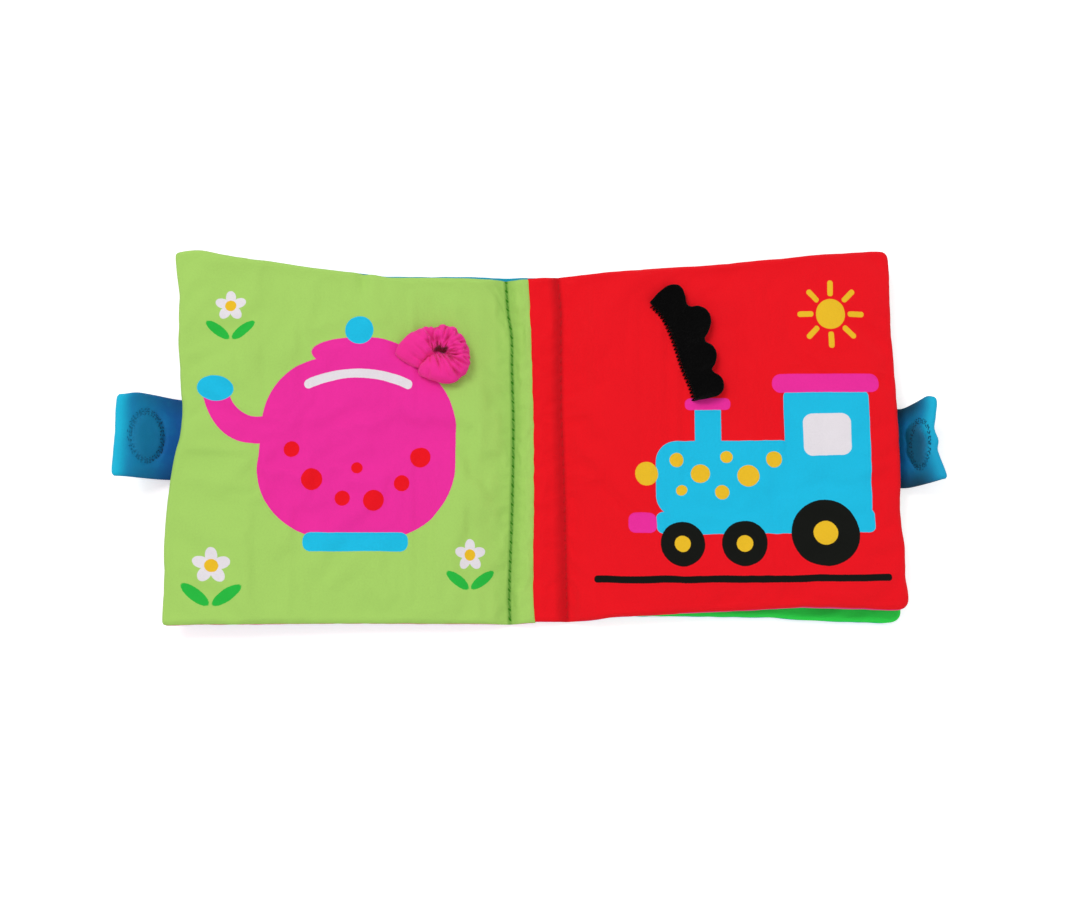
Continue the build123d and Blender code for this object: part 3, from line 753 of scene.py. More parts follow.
def placePad(mesh, page, leaf, half, across, up, layer):
    # puts each point of the grid in its place, and keeps the cloth's flat coordinates
    side, full, spine, border = leaf["side"], spread["height"], spread["spine"], cells["ends"]
    share = (across - spine) / leaf["width"]
    highY = full / 2 + soft(leaf["topEdge"], share, shaping["round"])
    lowY = -full / 2 - soft(leaf["bottomEdge"], share, shaping["round"])
    inX = spine + leaf["width"] - across  # in from the outer edge
    inY = np.minimum(up, full - up)  # in from the nearer end
    edge = np.minimum(inX, inY)
    upper = up > full / 2
    scale = (highY - lowY - 2 * border) / (full - 2 * border)
    y = np.where(up < border, lowY + up,
                 np.where(up > full - border, highY - (full - up), lowY + border + (up - border) * scale))
    # round corners
    radius = np.where(upper, leaf["radius"][1], leaf["radius"][0])
    p, q = np.clip(1 - inX / radius, 0, 1), np.clip(1 - inY / radius, 0, 1)
    pull = np.maximum(p, q) / np.maximum(np.hypot(p, q), 1e-9)
    corner = (p > 0) & (q > 0)
    shiftX = np.where(corner, radius * p * (1 - pull), 0)
    shiftY = np.where(corner, radius * q * (1 - pull), 0) * np.where(upper, -1, 1)
    lean = soft(leaf["outerEdge"], up / full, shaping["round"]) * ramp(share, shaping["leanFrom"], 1.0)
    x = across + lean - shiftX + (stitchAt(side, y) - spine) * hump(across, spine, shaping["stitchReach"])
    if page:
        # the two cloths meet at the middle seam, pressed a little into each other
        seam = side * soft(seams["middle"], y, 6.0) * (1 - ramp(across, 0, shaping["middleReach"]))
        x = x + seam - shaping["press"] * (1 - ramp(across, 0, shaping["pressReach"]))
    y = y + shiftY
    low, high = leaf["floor"](across), leaf["top"](across)
    z = (low + high) / 2 + layer * (high - low) / 2 * rounded(edge, half)
    # the seam all round is drawn in, and the edges wander a little
    plan = np.stack([x, y, np.zeros_like(x)], 1)
    wander = leaf["wave"] * (waves(plan, shaping["longWave"], leaf["seed"])
                             + shaping["shortShare"] * waves(plan, shaping["shortWave"], leaf["seed"] + 20))
    nearRim = 1 - ramp(edge, 0, shaping["waveReach"])
    drawn = np.where(edge < 0.01, shaping["rimDraw"], 0) - wander * nearRim
    x = x - np.where(inX <= inY, drawn, 0)
    y = y - np.where(inY < inX, drawn, 0) * np.where(upper, 1, -1)
    if page:
        swell = shaping["swell"] * leaf["wave"] * waves(plan, shaping["swellWave"], leaf["seed"] + 40)
        z = z + swell * (1 - ramp(edge, 0, shaping["swellReach"])) * ramp(share, 0.1, 0.4)
    setPoints(mesh, np.stack([side * x, y, z], 1) * mm)

    def flatFrom(distance):
        rolled = half * np.arccos(np.clip(1 - distance / half, -1, 1)) - (math.pi / 2 - 1) * half
        return np.where(distance < half, rolled, distance)
    flatX = side * (leaf["width"] - flatFrom(inX))
    flatY = np.where(up < full / 2, lowY + flatFrom(inY), highY - flatFrom(inY))
    keepFlat(mesh, flatX, np.where(inY < border, flatY, y))
    keepValues(mesh, across=across, edge=edge, layer=layer, end=np.where(up < full / 2, -inY, inY))


pads = {name: buildPad(name, leaf) for name, leaf in leaves.items()}
print("pads built:", {name: len(pad.data.vertices) for name, pad in pads.items()})

# cloth that swells: pressure, slack, steps, most a point moves, hold beside the stitches, and its stiffness
cushion = {
    "pressure": 2.0, "stretch": 0.035, "frames": 16, "cap": 1.1, "hold": 0.10, "quality": 4, "mass": 0.12,
    "air": 3.0, "tension": 12, "shear": 4, "bending": 0.4, "pin": 0.6, "holdReach": 2.5,
    "rimShare": 0.25, "rim": (0.5, 7),
}


def addCloth(piece):
    cloth = piece.modifiers.new("cloth", "CLOTH")
    settings = cloth.settings
    settings.quality, settings.mass = cushion["quality"], cushion["mass"]
    settings.air_damping = cushion["air"]
    settings.tension_stiffness = settings.compression_stiffness = cushion["tension"]
    settings.shear_stiffness, settings.bending_stiffness = cushion["shear"], cushion["bending"]
    settings.use_pressure, settings.uniform_pressure_force = True, cushion["pressure"]
    settings.vertex_group_mass, settings.pin_stiffness = "held", cushion["pin"]
    settings.shrink_min = -cushion["stretch"]
    settings.effector_weights.gravity = 0
    cloth.collision_settings.use_collision = False
    cloth.point_cache.frame_end = cushion["frames"]


def simulate(piece):
    # lets the slack cloth swell and pucker between its seams, and caps how far each point moves
    mesh = piece.data
    rest = getPoints(mesh)
    across, edge, layer = readValues(mesh, "across", "edge", "layer")
    sewnDown = np.abs(across - spread["spine"]) < shaping["pinchReach"]
    held = np.maximum.reduce([edge < 0.01, sewnDown, across < 0.1])
    beside = hump(across, spread["spine"], cushion["holdReach"])
    soften = cushion["hold"] + (1 - cushion["hold"]) * beside
    group = piece.vertex_groups.new(name="held")
    for number, weight in enumerate(np.where(held, 1.0, np.clip(soften, 0, 1))):
        group.add([number], float(weight), "REPLACE")
    addCloth(piece)
    for number in range(1, cushion["frames"] + 1):
        bpy.context.scene.frame_set(number)
    evaluated = piece.evaluated_get(bpy.context.evaluated_depsgraph_get())
    moved = getPoints(evaluated.data) - rest
    piece.modifiers.clear()
    piece.vertex_groups.clear()
    bpy.context.scene.frame_set(1)
    length = np.linalg.norm(moved, axis=1)
    cap = cushion["cap"] * mm
    # the sewn rim holds the cloth close to it
    share = cushion["rimShare"] + (1 - cushion["rimShare"]) * ramp(edge, *cushion["rim"])
    moved *= (share * cap * np.tanh(length / cap) / np.maximum(length, 1e-9))[:, None]
    if "Cover" in piece.name:
        moved[layer < 0.5, 2] = 0  # the table keeps the underside flat
    setPoints(mesh, rest + moved)
    print(piece.name, "simulated, moved mm: mean", round(float(length.mean() / mm), 2),
          "most", round(float(length.max() / mm), 2))


for pad in pads.values():
    simulate(pad)

# dimple at each stitch, small folds beside the stitches, and the stitches' pull on the underside
pucker = {"dimple": 0.35, "dimpleReach": 1.0, "fold": 0.55, "foldReach": 7.0, "spineShare": 0.6,
          "under": 0.15, "upTo": 40, "foldLie": (0.12, 1, 0), "foldScale": 4.2, "foldFrom": (0.2, 2.0)}
# the fold that runs in from the top edge of the left page, with a small rise to each side
topFold = {"x": -75.5, "width": 2.0, "from": 58.0, "to": 76.0, "depth": 1.5,
           "rises": [(5, 0.5, 3), (-5, 0.4, 3)]}


def drawIn(piece):
    # each stitch pulls a dimple, and small folds run out from the stitches
    mesh = smoothed(piece)
    points = getPoints(mesh) / mm
    across, layer = readValues(mesh, "across", "layer")
    side = leaves[piece.name]["side"]
    out = side * points[:, 0] - stitchAt(side, points[:, 1])
    turn = 2 * math.pi * (points[:, 1] - thread["start"]) / thread["pitch"]
    atStitch = 0.5 + 0.5 * np.cos(turn)
    if "Page" in piece.name:
        near = across < pucker["upTo"]
        folds = np.zeros(len(points))
        folds[near] = waves(points[near] * pucker["foldLie"], pucker["foldScale"], 7 + side)
        reach = np.where(out > 0, 1, pucker["spineShare"]) * pucker["foldReach"]
        sink = pucker["dimple"] * hump(out, 0, pucker["dimpleReach"]) * atStitch
        rise = pucker["fold"] * folds * np.exp(-np.abs(out) / reach)
        rise *= ramp(np.abs(out), *pucker["foldFrom"])
        up = np.clip(layer, -0.2, 1)
        points[:, 2] += (rise - sink) * up
        if side < 0:
            shape = hump(points[:, 0], topFold["x"], topFold["width"])
            for aside, height, width in topFold["rises"]:
                shape -= height * hump(points[:, 0], topFold["x"] + aside, width)
            reachIn = ramp(points[:, 1], topFold["from"], topFold["to"])
            points[:, 2] -= topFold["depth"] * shape * reachIn * up
    else:
        under = np.clip(-layer, 0, 1)
        points[:, 2] += under * pucker["under"] * atStitch * hump(out, 0, pucker["dimpleReach"])
        points[:, 2] = np.maximum(points[:, 2], 0.005)
    setPoints(mesh, points * mm)


for pad in pads.values():
    drawIn(pad)

# the back cloth shows as a thin line under the right page
backLine = {"from": 46, "wideFrom": 60, "wideTo": 152, "wide": 0.4, "narrow": 0.2}
rightMesh = pads["rightPage"].data
endValues, edgeValues, acrossValues = readValues(rightMesh, "end", "edge", "across")
for face in rightMesh.polygons:
    spots = list(face.vertices)
    across, end, edge = acrossValues[spots].mean(), endValues[spots].mean(), edgeValues[spots].mean()
    shown = backLine["wide" if backLine["wideFrom"] < across < backLine["wideTo"] else "narrow"]
    if face.material_index == 0 and -shown < end < 0 and edge < shown and across > backLine["from"]:
        face.material_index = 1
print("pads finished")

surfaces = {name: surfaceOf(pad) for name, pad in pads.items()}
for pad in pads.values():
    for label in ("across", "edge", "layer", "end"):
        pad.data.attributes.remove(pad.data.attributes[label])


def bendWith(piece):
    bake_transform(piece)


for name, pad in pads.items():
    bendWith(pad)
prints = [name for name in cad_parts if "_print_" in name]
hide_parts("left_page_front_cloth", "left_page_back_cloth", "left_page_wadding",
            "spine_green_strip", "spine_page_back_cloth", "spine_page_wadding",
            *[name for name in prints if name.startswith("left")])
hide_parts("right_page_front_cloth", "right_page_back_cloth", "right_page_wadding",
            "spine_red_strip", *[name for name in prints if name.startswith("right")])
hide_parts("left_cover_cloth", "left_cover_lining", "left_cover_wadding",
            "spine_cover_cloth", "spine_cover_lining", "spine_cover_wadding")
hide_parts("right_cover_cloth", "right_cover_lining", "right_cover_wadding")


# stitches

def addStitches(name, lengths, radius, material):
    # one rounded length of thread for each pair of ends
    bm = bmesh.new()
    for start, end in lengths:
        start, end = Vector(start), Vector(end)
        run = end - start
        turn = run.to_track_quat("Z", "Y").to_matrix().to_4x4()
        place = Matrix.Translation((start + end) / 2 * mm) @ turn
        sizes = Matrix.Diagonal((radius, radius, run.length / 2 + radius * 0.6, 1))
        bmesh.ops.create_uvsphere(bm, u_segments=6, v_segments=6, radius=mm, matrix=place @ sizes)
    return addPiece(name, meshFrom(bm, name), material)


def stitchRow(name, side):
    # on the page, each stitch leans a little; under the cover they lie straight
    page, cover = surfaces[name + "Page"], surfaces[name + "Cover"]
    lengths = []
    for number in range(int((thread["end"] - thread["start"]) / thread["pitch"])):
        low = thread["start"] + number * thread["pitch"] + (thread["pitch"] - thread["seen"]) / 2
        lean = thread["lean"] * side * (1 + 0.5 * math.sin(2.3 * number))
        above, below = [], []
        for y, way in ((low, -1), (low + thread["seen"], 1)):
            x = side * float(stitchAt(side, y))
            above.append((x + lean * way, y, heightOf(page, x + lean * way, y) + 0.05))
            lowest = thread["radius"] + heights["clear"]
            below.append((x, y, max(heightOf(cover, x, y, up=1) - 0.05, lowest)))
        lengths += [above, below]
    return lengths


for name, side, material, slot in (("left", -1, greenThread, "light_green_cotton"),
                                   ("right", 1, redThread, "red_cotton")):
    row = addStitches(name + "RunningStitch", stitchRow(name, side), thread["radius"], material)
    bendWith(row)
print("running stitches sewn")


# Closing tabs: how far out the folded end stands at heights up the tab (reach), and the heights of its
# two sides at shares of the reach (high, low). The ring of stitches has its middle, as a share of the
# reach and a height, and its half sizes. Pale, the painted highlight on the rolled end: from and to shares,
# strength and lean. Painted shade: over the ring and at the sides.
tabs = {
    "left": {
        "side": -1, "rise": 18.3, "seed": 5, "length": 78,
        "ring": {"out": 0.565, "y": 3.8, "along": 8.5, "up": 11.0},
        "reach": [(-14.5, 24.8), (-9, 25.0), (-2.5, 24.5), (5, 24.1), (11, 24.3), (20, 23.7)],
        "high": [(-0.3, 20.5), (0, 21), (0.5, 22.3), (0.75, 22.4), (1, 20.4)],
        "low": [(-0.3, -13.9), (0, -13.9), (1, -14.5)],
        "pale": (0.8, 1.02, 1.0, 0.0), "dusk": (0.0, 0.4),
    },
    "right": {
        "side": 1, "rise": 17.9, "seed": 6, "length": 62,
        "ring": {"out": 0.64, "y": -0.2, "along": 6.2, "up": 10.3},
        "reach": [(-16.5, 19.1), (-14.2, 18.4), (-10.4, 17.4), (-6.2, 15.9), (-2.6, 14.6), (0.4, 15.8),
                  (3.2, 14.4), (6.2, 13.4), (10.3, 14.5), (14.5, 15.2), (17.5, 15.2)],
        "high": [(-0.3, 17.2), (0, 17.3), (0.12, 17.3), (0.25, 16.7), (0.35, 16.9), (0.45, 17.3),
                 (0.7, 18.8), (0.9, 20.4), (0.97, 20.2), (1, 19.0)],
        "low": [(-0.3, -17.2), (0, -17.4), (0.3, -17.8), (0.7, -16.8), (0.9, -16.2), (1, -15.6)],
        "pale": (0.74, 1.0, 0.65, 0.2), "dusk": (0.6, 0.95),
    },
}
tape = {
    "root": 6.0, "width": 34.5, "ply": 0.6, "bulge": 0.55, "sink": 0.4, "threadRadius": 0.24,
    "gap": [(-0.3, 0.35), (0, 0.4), (0.2, 0.95), (0.8, 1.15), (1, 1.3)],
    "stitches": 36, "rows": (1.05, 0.96, 0.87), "discRadius": 9.0, "discMargin": 0.6,
    "discThickness": 1.0, "discRim": 0.12, "discCells": 15, "cells": 34, "foldCells": 7,
    "foldTurn": math.pi / 3, "plyEnd": 0.97, "meanReach": 24,
    "ripples": ((9, 0.5), (4, 0.18)),  # scale and height
    "flat": (30, 1.2, 17),  # its flat length along the reach and over the fold, and half its flat width
}
# painted shade and fuzz on the tape, by distance from the ring's middle, or by place on the tab
tapeFuzzAndShade = {"over": (0.72, 1.06), "worn": 0.62, "band": (0.96, 0.12), "sides": (0.4, 1.0),
        "sidesEnd": (0.55, 1.0)}


def tabMiddle(tab, out, reach):
    # level in the seam, then curling up, and levelling out again at the folded end
    share = np.maximum(out, 0) / reach
    climb = 1.25 * share**2 - 0.25 * share**4
    lip = 0.55 * np.maximum(share - 0.72, 0) ** 2 / 0.28
    return heights["coverPad"] / 2 + tab["rise"] * (climb - lip)


def tabSlope(tab, out, reach):
    return np.arctan2(tabMiddle(tab, out + 0.1, reach) - tabMiddle(tab, out - 0.1, reach), 0.2)


def tabSides(tab, share, reach=0.0):
    # middle height of the tab at a share of its reach, and half its width
    high, low = soft(tab["high"], share, reach), soft(tab["low"], share, reach)
    return (high + low) / 2, (high - low) / 2


def tabPlace(tab, share, v, lift):
    # a point at a share of the reach, a place from the low side (-1) to the high one (1), and a lift
    middle, half = tabSides(tab, share, 0.08)
    y = middle + v * half
    reach = soft(tab["reach"], y, 1.5)
    out = share * reach
    slope = tabSlope(tab, out, reach)
    x = spread["spine"] + spread["cover"] + out - lift * np.sin(slope)
    z = tabMiddle(tab, out, reach) + lift * np.cos(slope)
    return np.stack([tab["side"] * x, y, z], 1)


def ringShare(tab, share, v):
    # how far a point of the tab stands from the ring's middle, as a share of the ring's radius
    middle, half = tabSides(tab, share)
    y = middle + v * half
    reach = soft(tab["reach"], y)
    ring = tab["ring"]
    ringOut = ring["out"] * reach
    along = (share * reach - ringOut) / math.cos(float(tabSlope(tab, ringOut.mean(), reach.mean())))
    return np.hypot(along / ring["along"], (y - ring["y"]) / ring["up"])


def tapePaint(mesh, tab, share, v, far):
    # where the tape gets its painted highlight, painted shade or fuzz, for the tape's material
    low, high, strength, turn = tab["pale"]
    ringShade, sides = tab["dusk"]
    over = 1 - ramp(far, *tapeFuzzAndShade["over"])
    sideShade = sides * ramp(np.abs(v), *tapeFuzzAndShade["sides"]) * (1 - ramp(share, *tapeFuzzAndShade["sidesEnd"]))
    keepValues(mesh, share=share, pale=ramp(share, low, high) * (strength + turn * v),
               worn=tapeFuzzAndShade["worn"] * over, dusk=np.maximum(ringShade * over, sideShade),
               band=hump(far, *tapeFuzzAndShade["band"]))


def makeTab(name, tab):
    # the tape runs out from the seam, folds over at the end and comes back
    count, few = tape["cells"], tape["foldCells"]
    outwards = np.linspace(-tape["root"] / tape["meanReach"], tape["plyEnd"], count)
    turns = np.linspace(-tape["foldTurn"], tape["foldTurn"], few)
    shares = np.concatenate([outwards, np.full(few, 1.0), outwards[::-1]])
    fold = np.concatenate([np.full(count, -1.0), np.sin(turns), np.full(count, 1.0)])
    past = np.concatenate([np.zeros(count), np.cos(turns), np.zeros(count)])
    bm = bmesh.new()
    bmesh.ops.create_grid(bm, x_segments=len(shares) - 1, y_segments=count, size=1)
    mesh = meshFrom(bm, name)
    grid = getPoints(mesh)
    i = ((grid[:, 0] + 1) / 2 * (len(shares) - 1)).round().astype(int)
    v = grid[:, 1]
    gap = soft(tape["gap"], shares[i], 0.05)
    far = ringShare(tab, shares[i], v)
    bulge = tape["bulge"] * (1 - ramp(far, 0.6, 1.0)) - tape["sink"] * hump(far, 1.0, 0.11)
    # the plies meet along the sides
    gap += (tape["ply"] / 2 + 0.01 - gap) * ramp(np.abs(v), 0.93, 1.0)
    lift = fold[i] * (gap + bulge * (np.abs(fold[i]) > 0.99))
    points = tabPlace(tab, np.minimum(shares[i], 1.0), v, lift)
    slope = tabSlope(tab, tab["reach"][0][1], tab["reach"][0][1])
    points[:, 0] += tab["side"] * past[i] * gap * math.cos(slope)
    points[:, 2] += past[i] * gap * math.sin(slope)
    ripple = sum(waves(points, scale, tab["seed"] + 3 * number) * height
                 for number, (scale, height) in enumerate(tape["ripples"]))
    points[:, 2] += ripple * ramp(shares[i], 0.1, 0.6)
    points[:, 0] += tab["side"] * ripple * 0.6 * ramp(shares[i], 0.3, 1.0)
    setPoints(mesh, points * mm)
    along, over, half = tape["flat"]
    length = np.concatenate([[0], np.cumsum(np.hypot(np.diff(shares) * along, np.diff(fold * over)))])
    keepFlat(mesh, length[i], v * half)
    tapePaint(mesh, tab, np.clip(shares[i], 0, 1), v, far)
    piece = addPiece(name, mesh, tapeCloth)
    thicken = piece.modifiers.new("ply", "SOLIDIFY")
    thicken.thickness, thicken.offset, thicken.use_even_offset = tape["ply"] * mm, 0, True
    applyModifiers(piece)
    smoothed(piece)
    return piece


def ringMiddle(tab):
    reach = float(soft(tab["reach"], tab["ring"]["y"]))
    middle = tab["ring"]["out"] * reach
    return middle, float(tabSlope(tab, middle, reach))


def makeFastener(name, tab):
    # a round disc between the plies, narrowed where the ring of stitches is narrow
    last = tape["discCells"] - 1
    mesh = meshFrom(layeredGrid(last + 1, last + 1), name)
    i, j, layer = gridOf(mesh)
    u, v = 2 * i / last - 1, 2 * j / last - 1
    discX, discY = u * np.sqrt(1 - v * v / 2), v * np.sqrt(1 - u * u / 2)
    middle, slope = ringMiddle(tab)
    halfAlong, halfUp = (min(tab["ring"][way] - tape["discMargin"], tape["discRadius"])
                         for way in ("along", "up"))
    y = tab["ring"]["y"] + halfUp * discY
    share = (middle + halfAlong * discX * math.cos(slope)) / soft(tab["reach"], y, 1.5)
    centre, half = tabSides(tab, share, 0.08)
    lift = layer * tape["discThickness"] / 2 * rounded(1 - np.hypot(discX, discY), tape["discRim"])
    setPoints(mesh, tabPlace(tab, share, (y - centre) / half, lift) * mm)
    return addPiece(name, mesh, softPlastic)


def ringStitches(tab, upper):
    # rows of short, untidy stitches round the fastener
    middle, slope = ringMiddle(tab)
    chance = random.Random(tab["seed"])
    lengths = []
    for share in tape["rows"]:
        for number in range(tape["stitches"]):
            start = number + chance.uniform(0, 0.5)
            ends = []
            for part in (start, start + chance.uniform(0.25, 0.5)):
                angle = 2 * math.pi * part / tape["stitches"]
                far = share + chance.uniform(-0.045, 0.045)
                out = middle + far * tab["ring"]["along"] * math.cos(angle) * math.cos(slope)
                x = tab["side"] * (spread["spine"] + spread["cover"] + out)
                y = tab["ring"]["y"] + far * tab["ring"]["up"] * math.sin(angle)
                ends.append((x, y, heightOf(upper, x, y)))
            lengths.append(ends)
    return lengths


for name, tab in tabs.items():
    body = name + "_cover"
    piece = makeTab(name + "ClosingTab", tab)
    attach(piece, body)
    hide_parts(name + "_tab")

    disc = makeFastener(name + "TabFastener", tab)
    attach(disc, body)
    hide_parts(name + "_tab_fastener")

    lengths = ringStitches(tab, surfaceOf(piece))
    ring = addStitches(name + "TabStitches", lengths, tape["threadRadius"], tapeThread)
    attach(ring, body)
print("tabs made")


# Gathered curl, from the base round the hole to the flat tip.
curl = {
    "hole": (30.5, 42.4), "height": 8.4, "steps": 300, "around": 44,
    # the outer and the inner end of each section in plan, from the hole, and its share of the height
    "sections": [
        (-19.9, -4.4, -10.4, -9.8, 0.22), (-19.0, 0.0, -7.9, -7.5, 0.55), (-15.8, 3.8, -6.1, -5.4, 0.8),
        (-12.0, 6.8, -4.6, -3.8, 0.95), (-7.6, 8.4, -3.0, -2.5, 1.0), (-3.8, 9.1, -1.8, -1.5, 0.97),
        (0.3, 9.6, -0.3, -0.6, 1.0), (4.4, 9.7, 1.1, -0.8, 1.0), (8.4, 6.9, 2.3, -1.3, 1.0),
        (11.5, 2.3, 3.2, -1.9, 1.0), (13.3, -2.3, 3.5, -2.4, 1.0), (13.5, -6.4, 3.3, -2.8, 1.0),
        (12.1, -10.4, 2.5, -3.1, 0.97), (9.8, -13.7, 1.3, -3.2, 0.95), (6.2, -16.2, 0.0, -3.0, 0.92),
        (1.9, -16.4, -1.8, -3.2, 0.9), (-2.2, -15.3, -4.0, -3.7, 0.85), (-6.3, -13.8, -6.5, -5.6, 0.65),
        (-10.4, -11.2, -9.8, -8.6, 0.3),
    ],
    "gathers": [(0, 0.3), (3, 0.35), (4.4, 0.9), (6, 1.0), (12, 1.0), (13.5, 0.55), (18, 0.2)],
    # large folds: section, place round the tube from its outer end (0) to its inner end (1), length, slant,
    # width and depth
    "folds": [
        (1.3, 0.8, 0.25, 0.4, 0.2, 0.9), (2.4, 0.75, 0.3, 0.6, 0.22, 0.8), (3.3, 0.15, 0.3, 0.3, 0.25, 0.8),
        (5.6, 0.8, 0.25, -0.4, 0.2, 1.9), (4.7, 0.55, 0.2, 1.4, 0.24, 1.5), (7.2, 0.4, 0.2, 0.8, 0.22, 1.3),
        (8.6, 0.3, 0.25, -0.6, 0.22, 1.5), (10.3, 0.15, 0.22, 0.3, 0.22, 1.2),
        (11.7, 0.3, 0.3, 0.5, 0.2, 1.3), (13.2, 0.25, 0.25, 0.7, 0.2, 1.4),
        (12.3, 0.78, 0.16, -0.3, 0.2, 1.6), (13.5, 0.86, 0.15, -0.3, 0.18, 1.5),
        (14.4, 0.88, 0.14, 0.2, 0.16, 1.3), (15.1, 0.74, 0.26, 0.3, 0.18, 1.8),
        (16.2, 0.8, 0.16, -0.2, 0.16, 1.1), (16.6, 0.25, 0.2, -0.4, 0.2, 0.8),
    ],
    # small crumples: how many, and the least and the most of each of the same numbers
    "crumples": 84, "seed": 21,
    "crumple": [(3.6, 14.6), (-0.05, 1.0), (0.08, 0.26), (-2.2, 2.2), (0.11, 0.23), (0.5, 1.6)],
    "elastic": (0.62, 0.08, 0.7), "deepest": 2.3, "shallow": (0.55, 0.16),
    "sectionStep": 3.4, "girth": 30.0, "endTaper": 0.35, "under": 3.1, "seat": 0.2, "sectionRound": 0.55,
    "rough": (3.2, 0.35), "tube": 6,  # scale and height of the roughness, on a tube of this radius
    "dark": (0.3, -1.5, 3.5, 1.35),  # middle and half sizes of the painted shadow in the hole, in plan
}


def creasesOf(at, place):
    # depth of the folds: the large ones as listed, and many small crumples along the elastic
    depth = np.zeros(len(at))
    chance = random.Random(curl["seed"])
    crumples = [[chance.uniform(*span) for span in curl["crumple"]] for number in range(curl["crumples"])]
    gathers = soft(curl["gathers"], at, 0.5)
    for rows, weight in ((curl["folds"], 1.0), (crumples, gathers)):
        for section, middle, length, slant, width, deep in rows:
            past = (place - middle + 1) % 2 - 1
            depth += weight * deep * hump(at - slant * past, section, width) * hump(past, 0, length)
    # shallow at the outer end, where the cloth is stretched round
    share, reach = curl["shallow"]
    depth *= 1 - share * hump((place + 1) % 2 - 1, 0, reach)
    middle, width, deep = curl["elastic"]
    depth += deep * gathers * hump(place, middle, width)
    return curl["deepest"] * np.tanh(depth / curl["deepest"])


def makeCurl(name):
    steps, around = curl["steps"], curl["around"]
    bm = bmesh.new()
    bmesh.ops.create_grid(bm, x_segments=steps, y_segments=around, size=1)
    for vert in bm.verts:
        vert.co = (round((vert.co.x + 1) / 2 * steps), round((vert.co.y + 1) / 2 * around), 0)
    mesh = meshFrom(bm, name)
    i, j, _ = gridOf(mesh)
    at = (len(curl["sections"]) - 1) * i / steps
    outerX, outerY, innerX, innerY, share = (
        soft(list(enumerate(column)), at, curl["sectionRound"]) for column in zip(*curl["sections"]))
    turn = 2 * math.pi * j / around
    tube = np.stack([np.cos(turn) * curl["tube"], np.sin(turn) * curl["tube"], at * curl["sectionStep"]], 1)
    scale, rough = curl["rough"]
    depth = creasesOf(at, turn / math.pi) + rough * waves(tube, scale, 13)
    centreX, centreY = (outerX + innerX) / 2, (outerY + innerY) / 2
    half = np.hypot(outerX - innerX, outerY - innerY) / 2
    endClose = 1 - curl["endTaper"] * (1 - ramp(np.minimum(i, steps - i), 0, 6))
    alongX, alongY = (outerX - centreX) / half, (outerY - centreY) / half
    sideways = (half * endClose - depth * np.clip(half / 5, 0.3, 1)) * np.cos(turn)
    # underneath, the cloth runs on below the hole and closes it
    below = 2 * np.clip(-np.sin(turn), 0, 1) * np.clip(-np.cos(turn), 0, 1)
    sideways -= curl["under"] * below * ramp(at, 1.0, 3.0)
    planX, planY = centreX + sideways * alongX, centreY + sideways * alongY
    x, y = planX - spread["spine"] - curl["hole"][0], planY + curl["hole"][1]
    rise = curl["height"] / 2 * share * endClose
    upper = (rise - depth * np.clip(rise / 3, 0.2, 1)) * np.sin(turn)
    z = pageTop(-x) + curl["seat"] + np.maximum(rise * 0.98 + upper, 0)
    setPoints(mesh, np.stack([x, y, z], 1) * mm)
    keepFlat(mesh, at * curl["sectionStep"], j / around * curl["girth"])
    # mask of the painted shadow in the hole, kept with the fold depth for the painted shade in the folds
    darkX, darkY, wide, tall = curl["dark"]
    sway = 0.5 * np.sin(1.6 * (planX - darkX))
    inside = 1 - ramp(np.hypot((planX - darkX) / wide, (planY - darkY + sway) / tall), 0.7, 1.15)
    keepValues(mesh, fold=depth / curl["deepest"], hole=inside * ramp(rise * (1 - np.sin(turn)), 0.5, 2.4))
    bm = bmesh.new()
    bm.from_mesh(mesh)
    bmesh.ops.remove_doubles(bm, verts=bm.verts[:], dist=1e-6)
    closeHoles(bm)
    bm.to_mesh(mesh)
    bm.free()
    piece = addPiece(name, mesh, curlCotton)
    smoothed(piece)
    return piece


curlPiece = makeCurl("gatheredCurl")
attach(curlPiece, "left_cover")
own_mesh(curlPiece)
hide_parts("gathered_curl")
print("curl gathered")


# felt flap: outline points as (out, y), the sewn edge first, then the scallops
flap = {
    "thickness": 2.0, "seat": 0.15, "lean": 2.2, "leanCurve": 1.6, "columns": 130, "rows": 20,
    "fuzz": (1.3, 0.16), "wave": (7, 0.3), "fray": (0.8, 0.5),  # scale and height; shares in x and in y
    "sewn": [(56.9, 18.7), (55.5, 24.0), (52.2, 32.5), (49.3, 42.0), (46.6, 49.9), (43.5, 56.2),
             (40.9, 59.3), (37.9, 62.2)],
    "scallops": [(56.9, 18.7), (63.2, 19.6), (67.6, 21.4), (69.2, 25.0), (67.8, 29.0), (64.0, 31.6),
                 (65.4, 34.6), (66.1, 38.8), (64.4, 42.6), (61.2, 45.0), (62.8, 48.8), (64.0, 54.2),
                 (62.6, 58.2), (59.1, 60.2), (54.5, 60.3), (53.0, 65.0), (51.4, 69.0), (47.5, 70.0),
                 (43.0, 67.6), (37.9, 62.2)],
}


def curveThrough(points, count):
    # smooth line through points, as evenly spaced places, and its length
    curve = bpy.data.curves.new("line", "CURVE")
    curve.dimensions, curve.resolution_u = "3D", 12
    spline = curve.splines.new("BEZIER")
    spline.bezier_points.add(len(points) - 1)
    for knot, place in zip(spline.bezier_points, points):
        knot.co = (*place, 0)
        knot.handle_left_type = knot.handle_right_type = "AUTO"
    holder = addObject("line", curve)
    line = bpy.data.meshes.new_from_object(holder)
    dense = getPoints(line)[:, :2]
    bpy.data.objects.remove(holder)
    bpy.data.curves.remove(curve)
    bpy.data.meshes.remove(line)
    run = np.concatenate([[0], np.cumsum(np.linalg.norm(np.diff(dense, axis=0), axis=1))])
    at = np.linspace(0, run[-1], count)
    return np.stack([np.interp(at, run, dense[:, 0]), np.interp(at, run, dense[:, 1])], 1), run[-1]


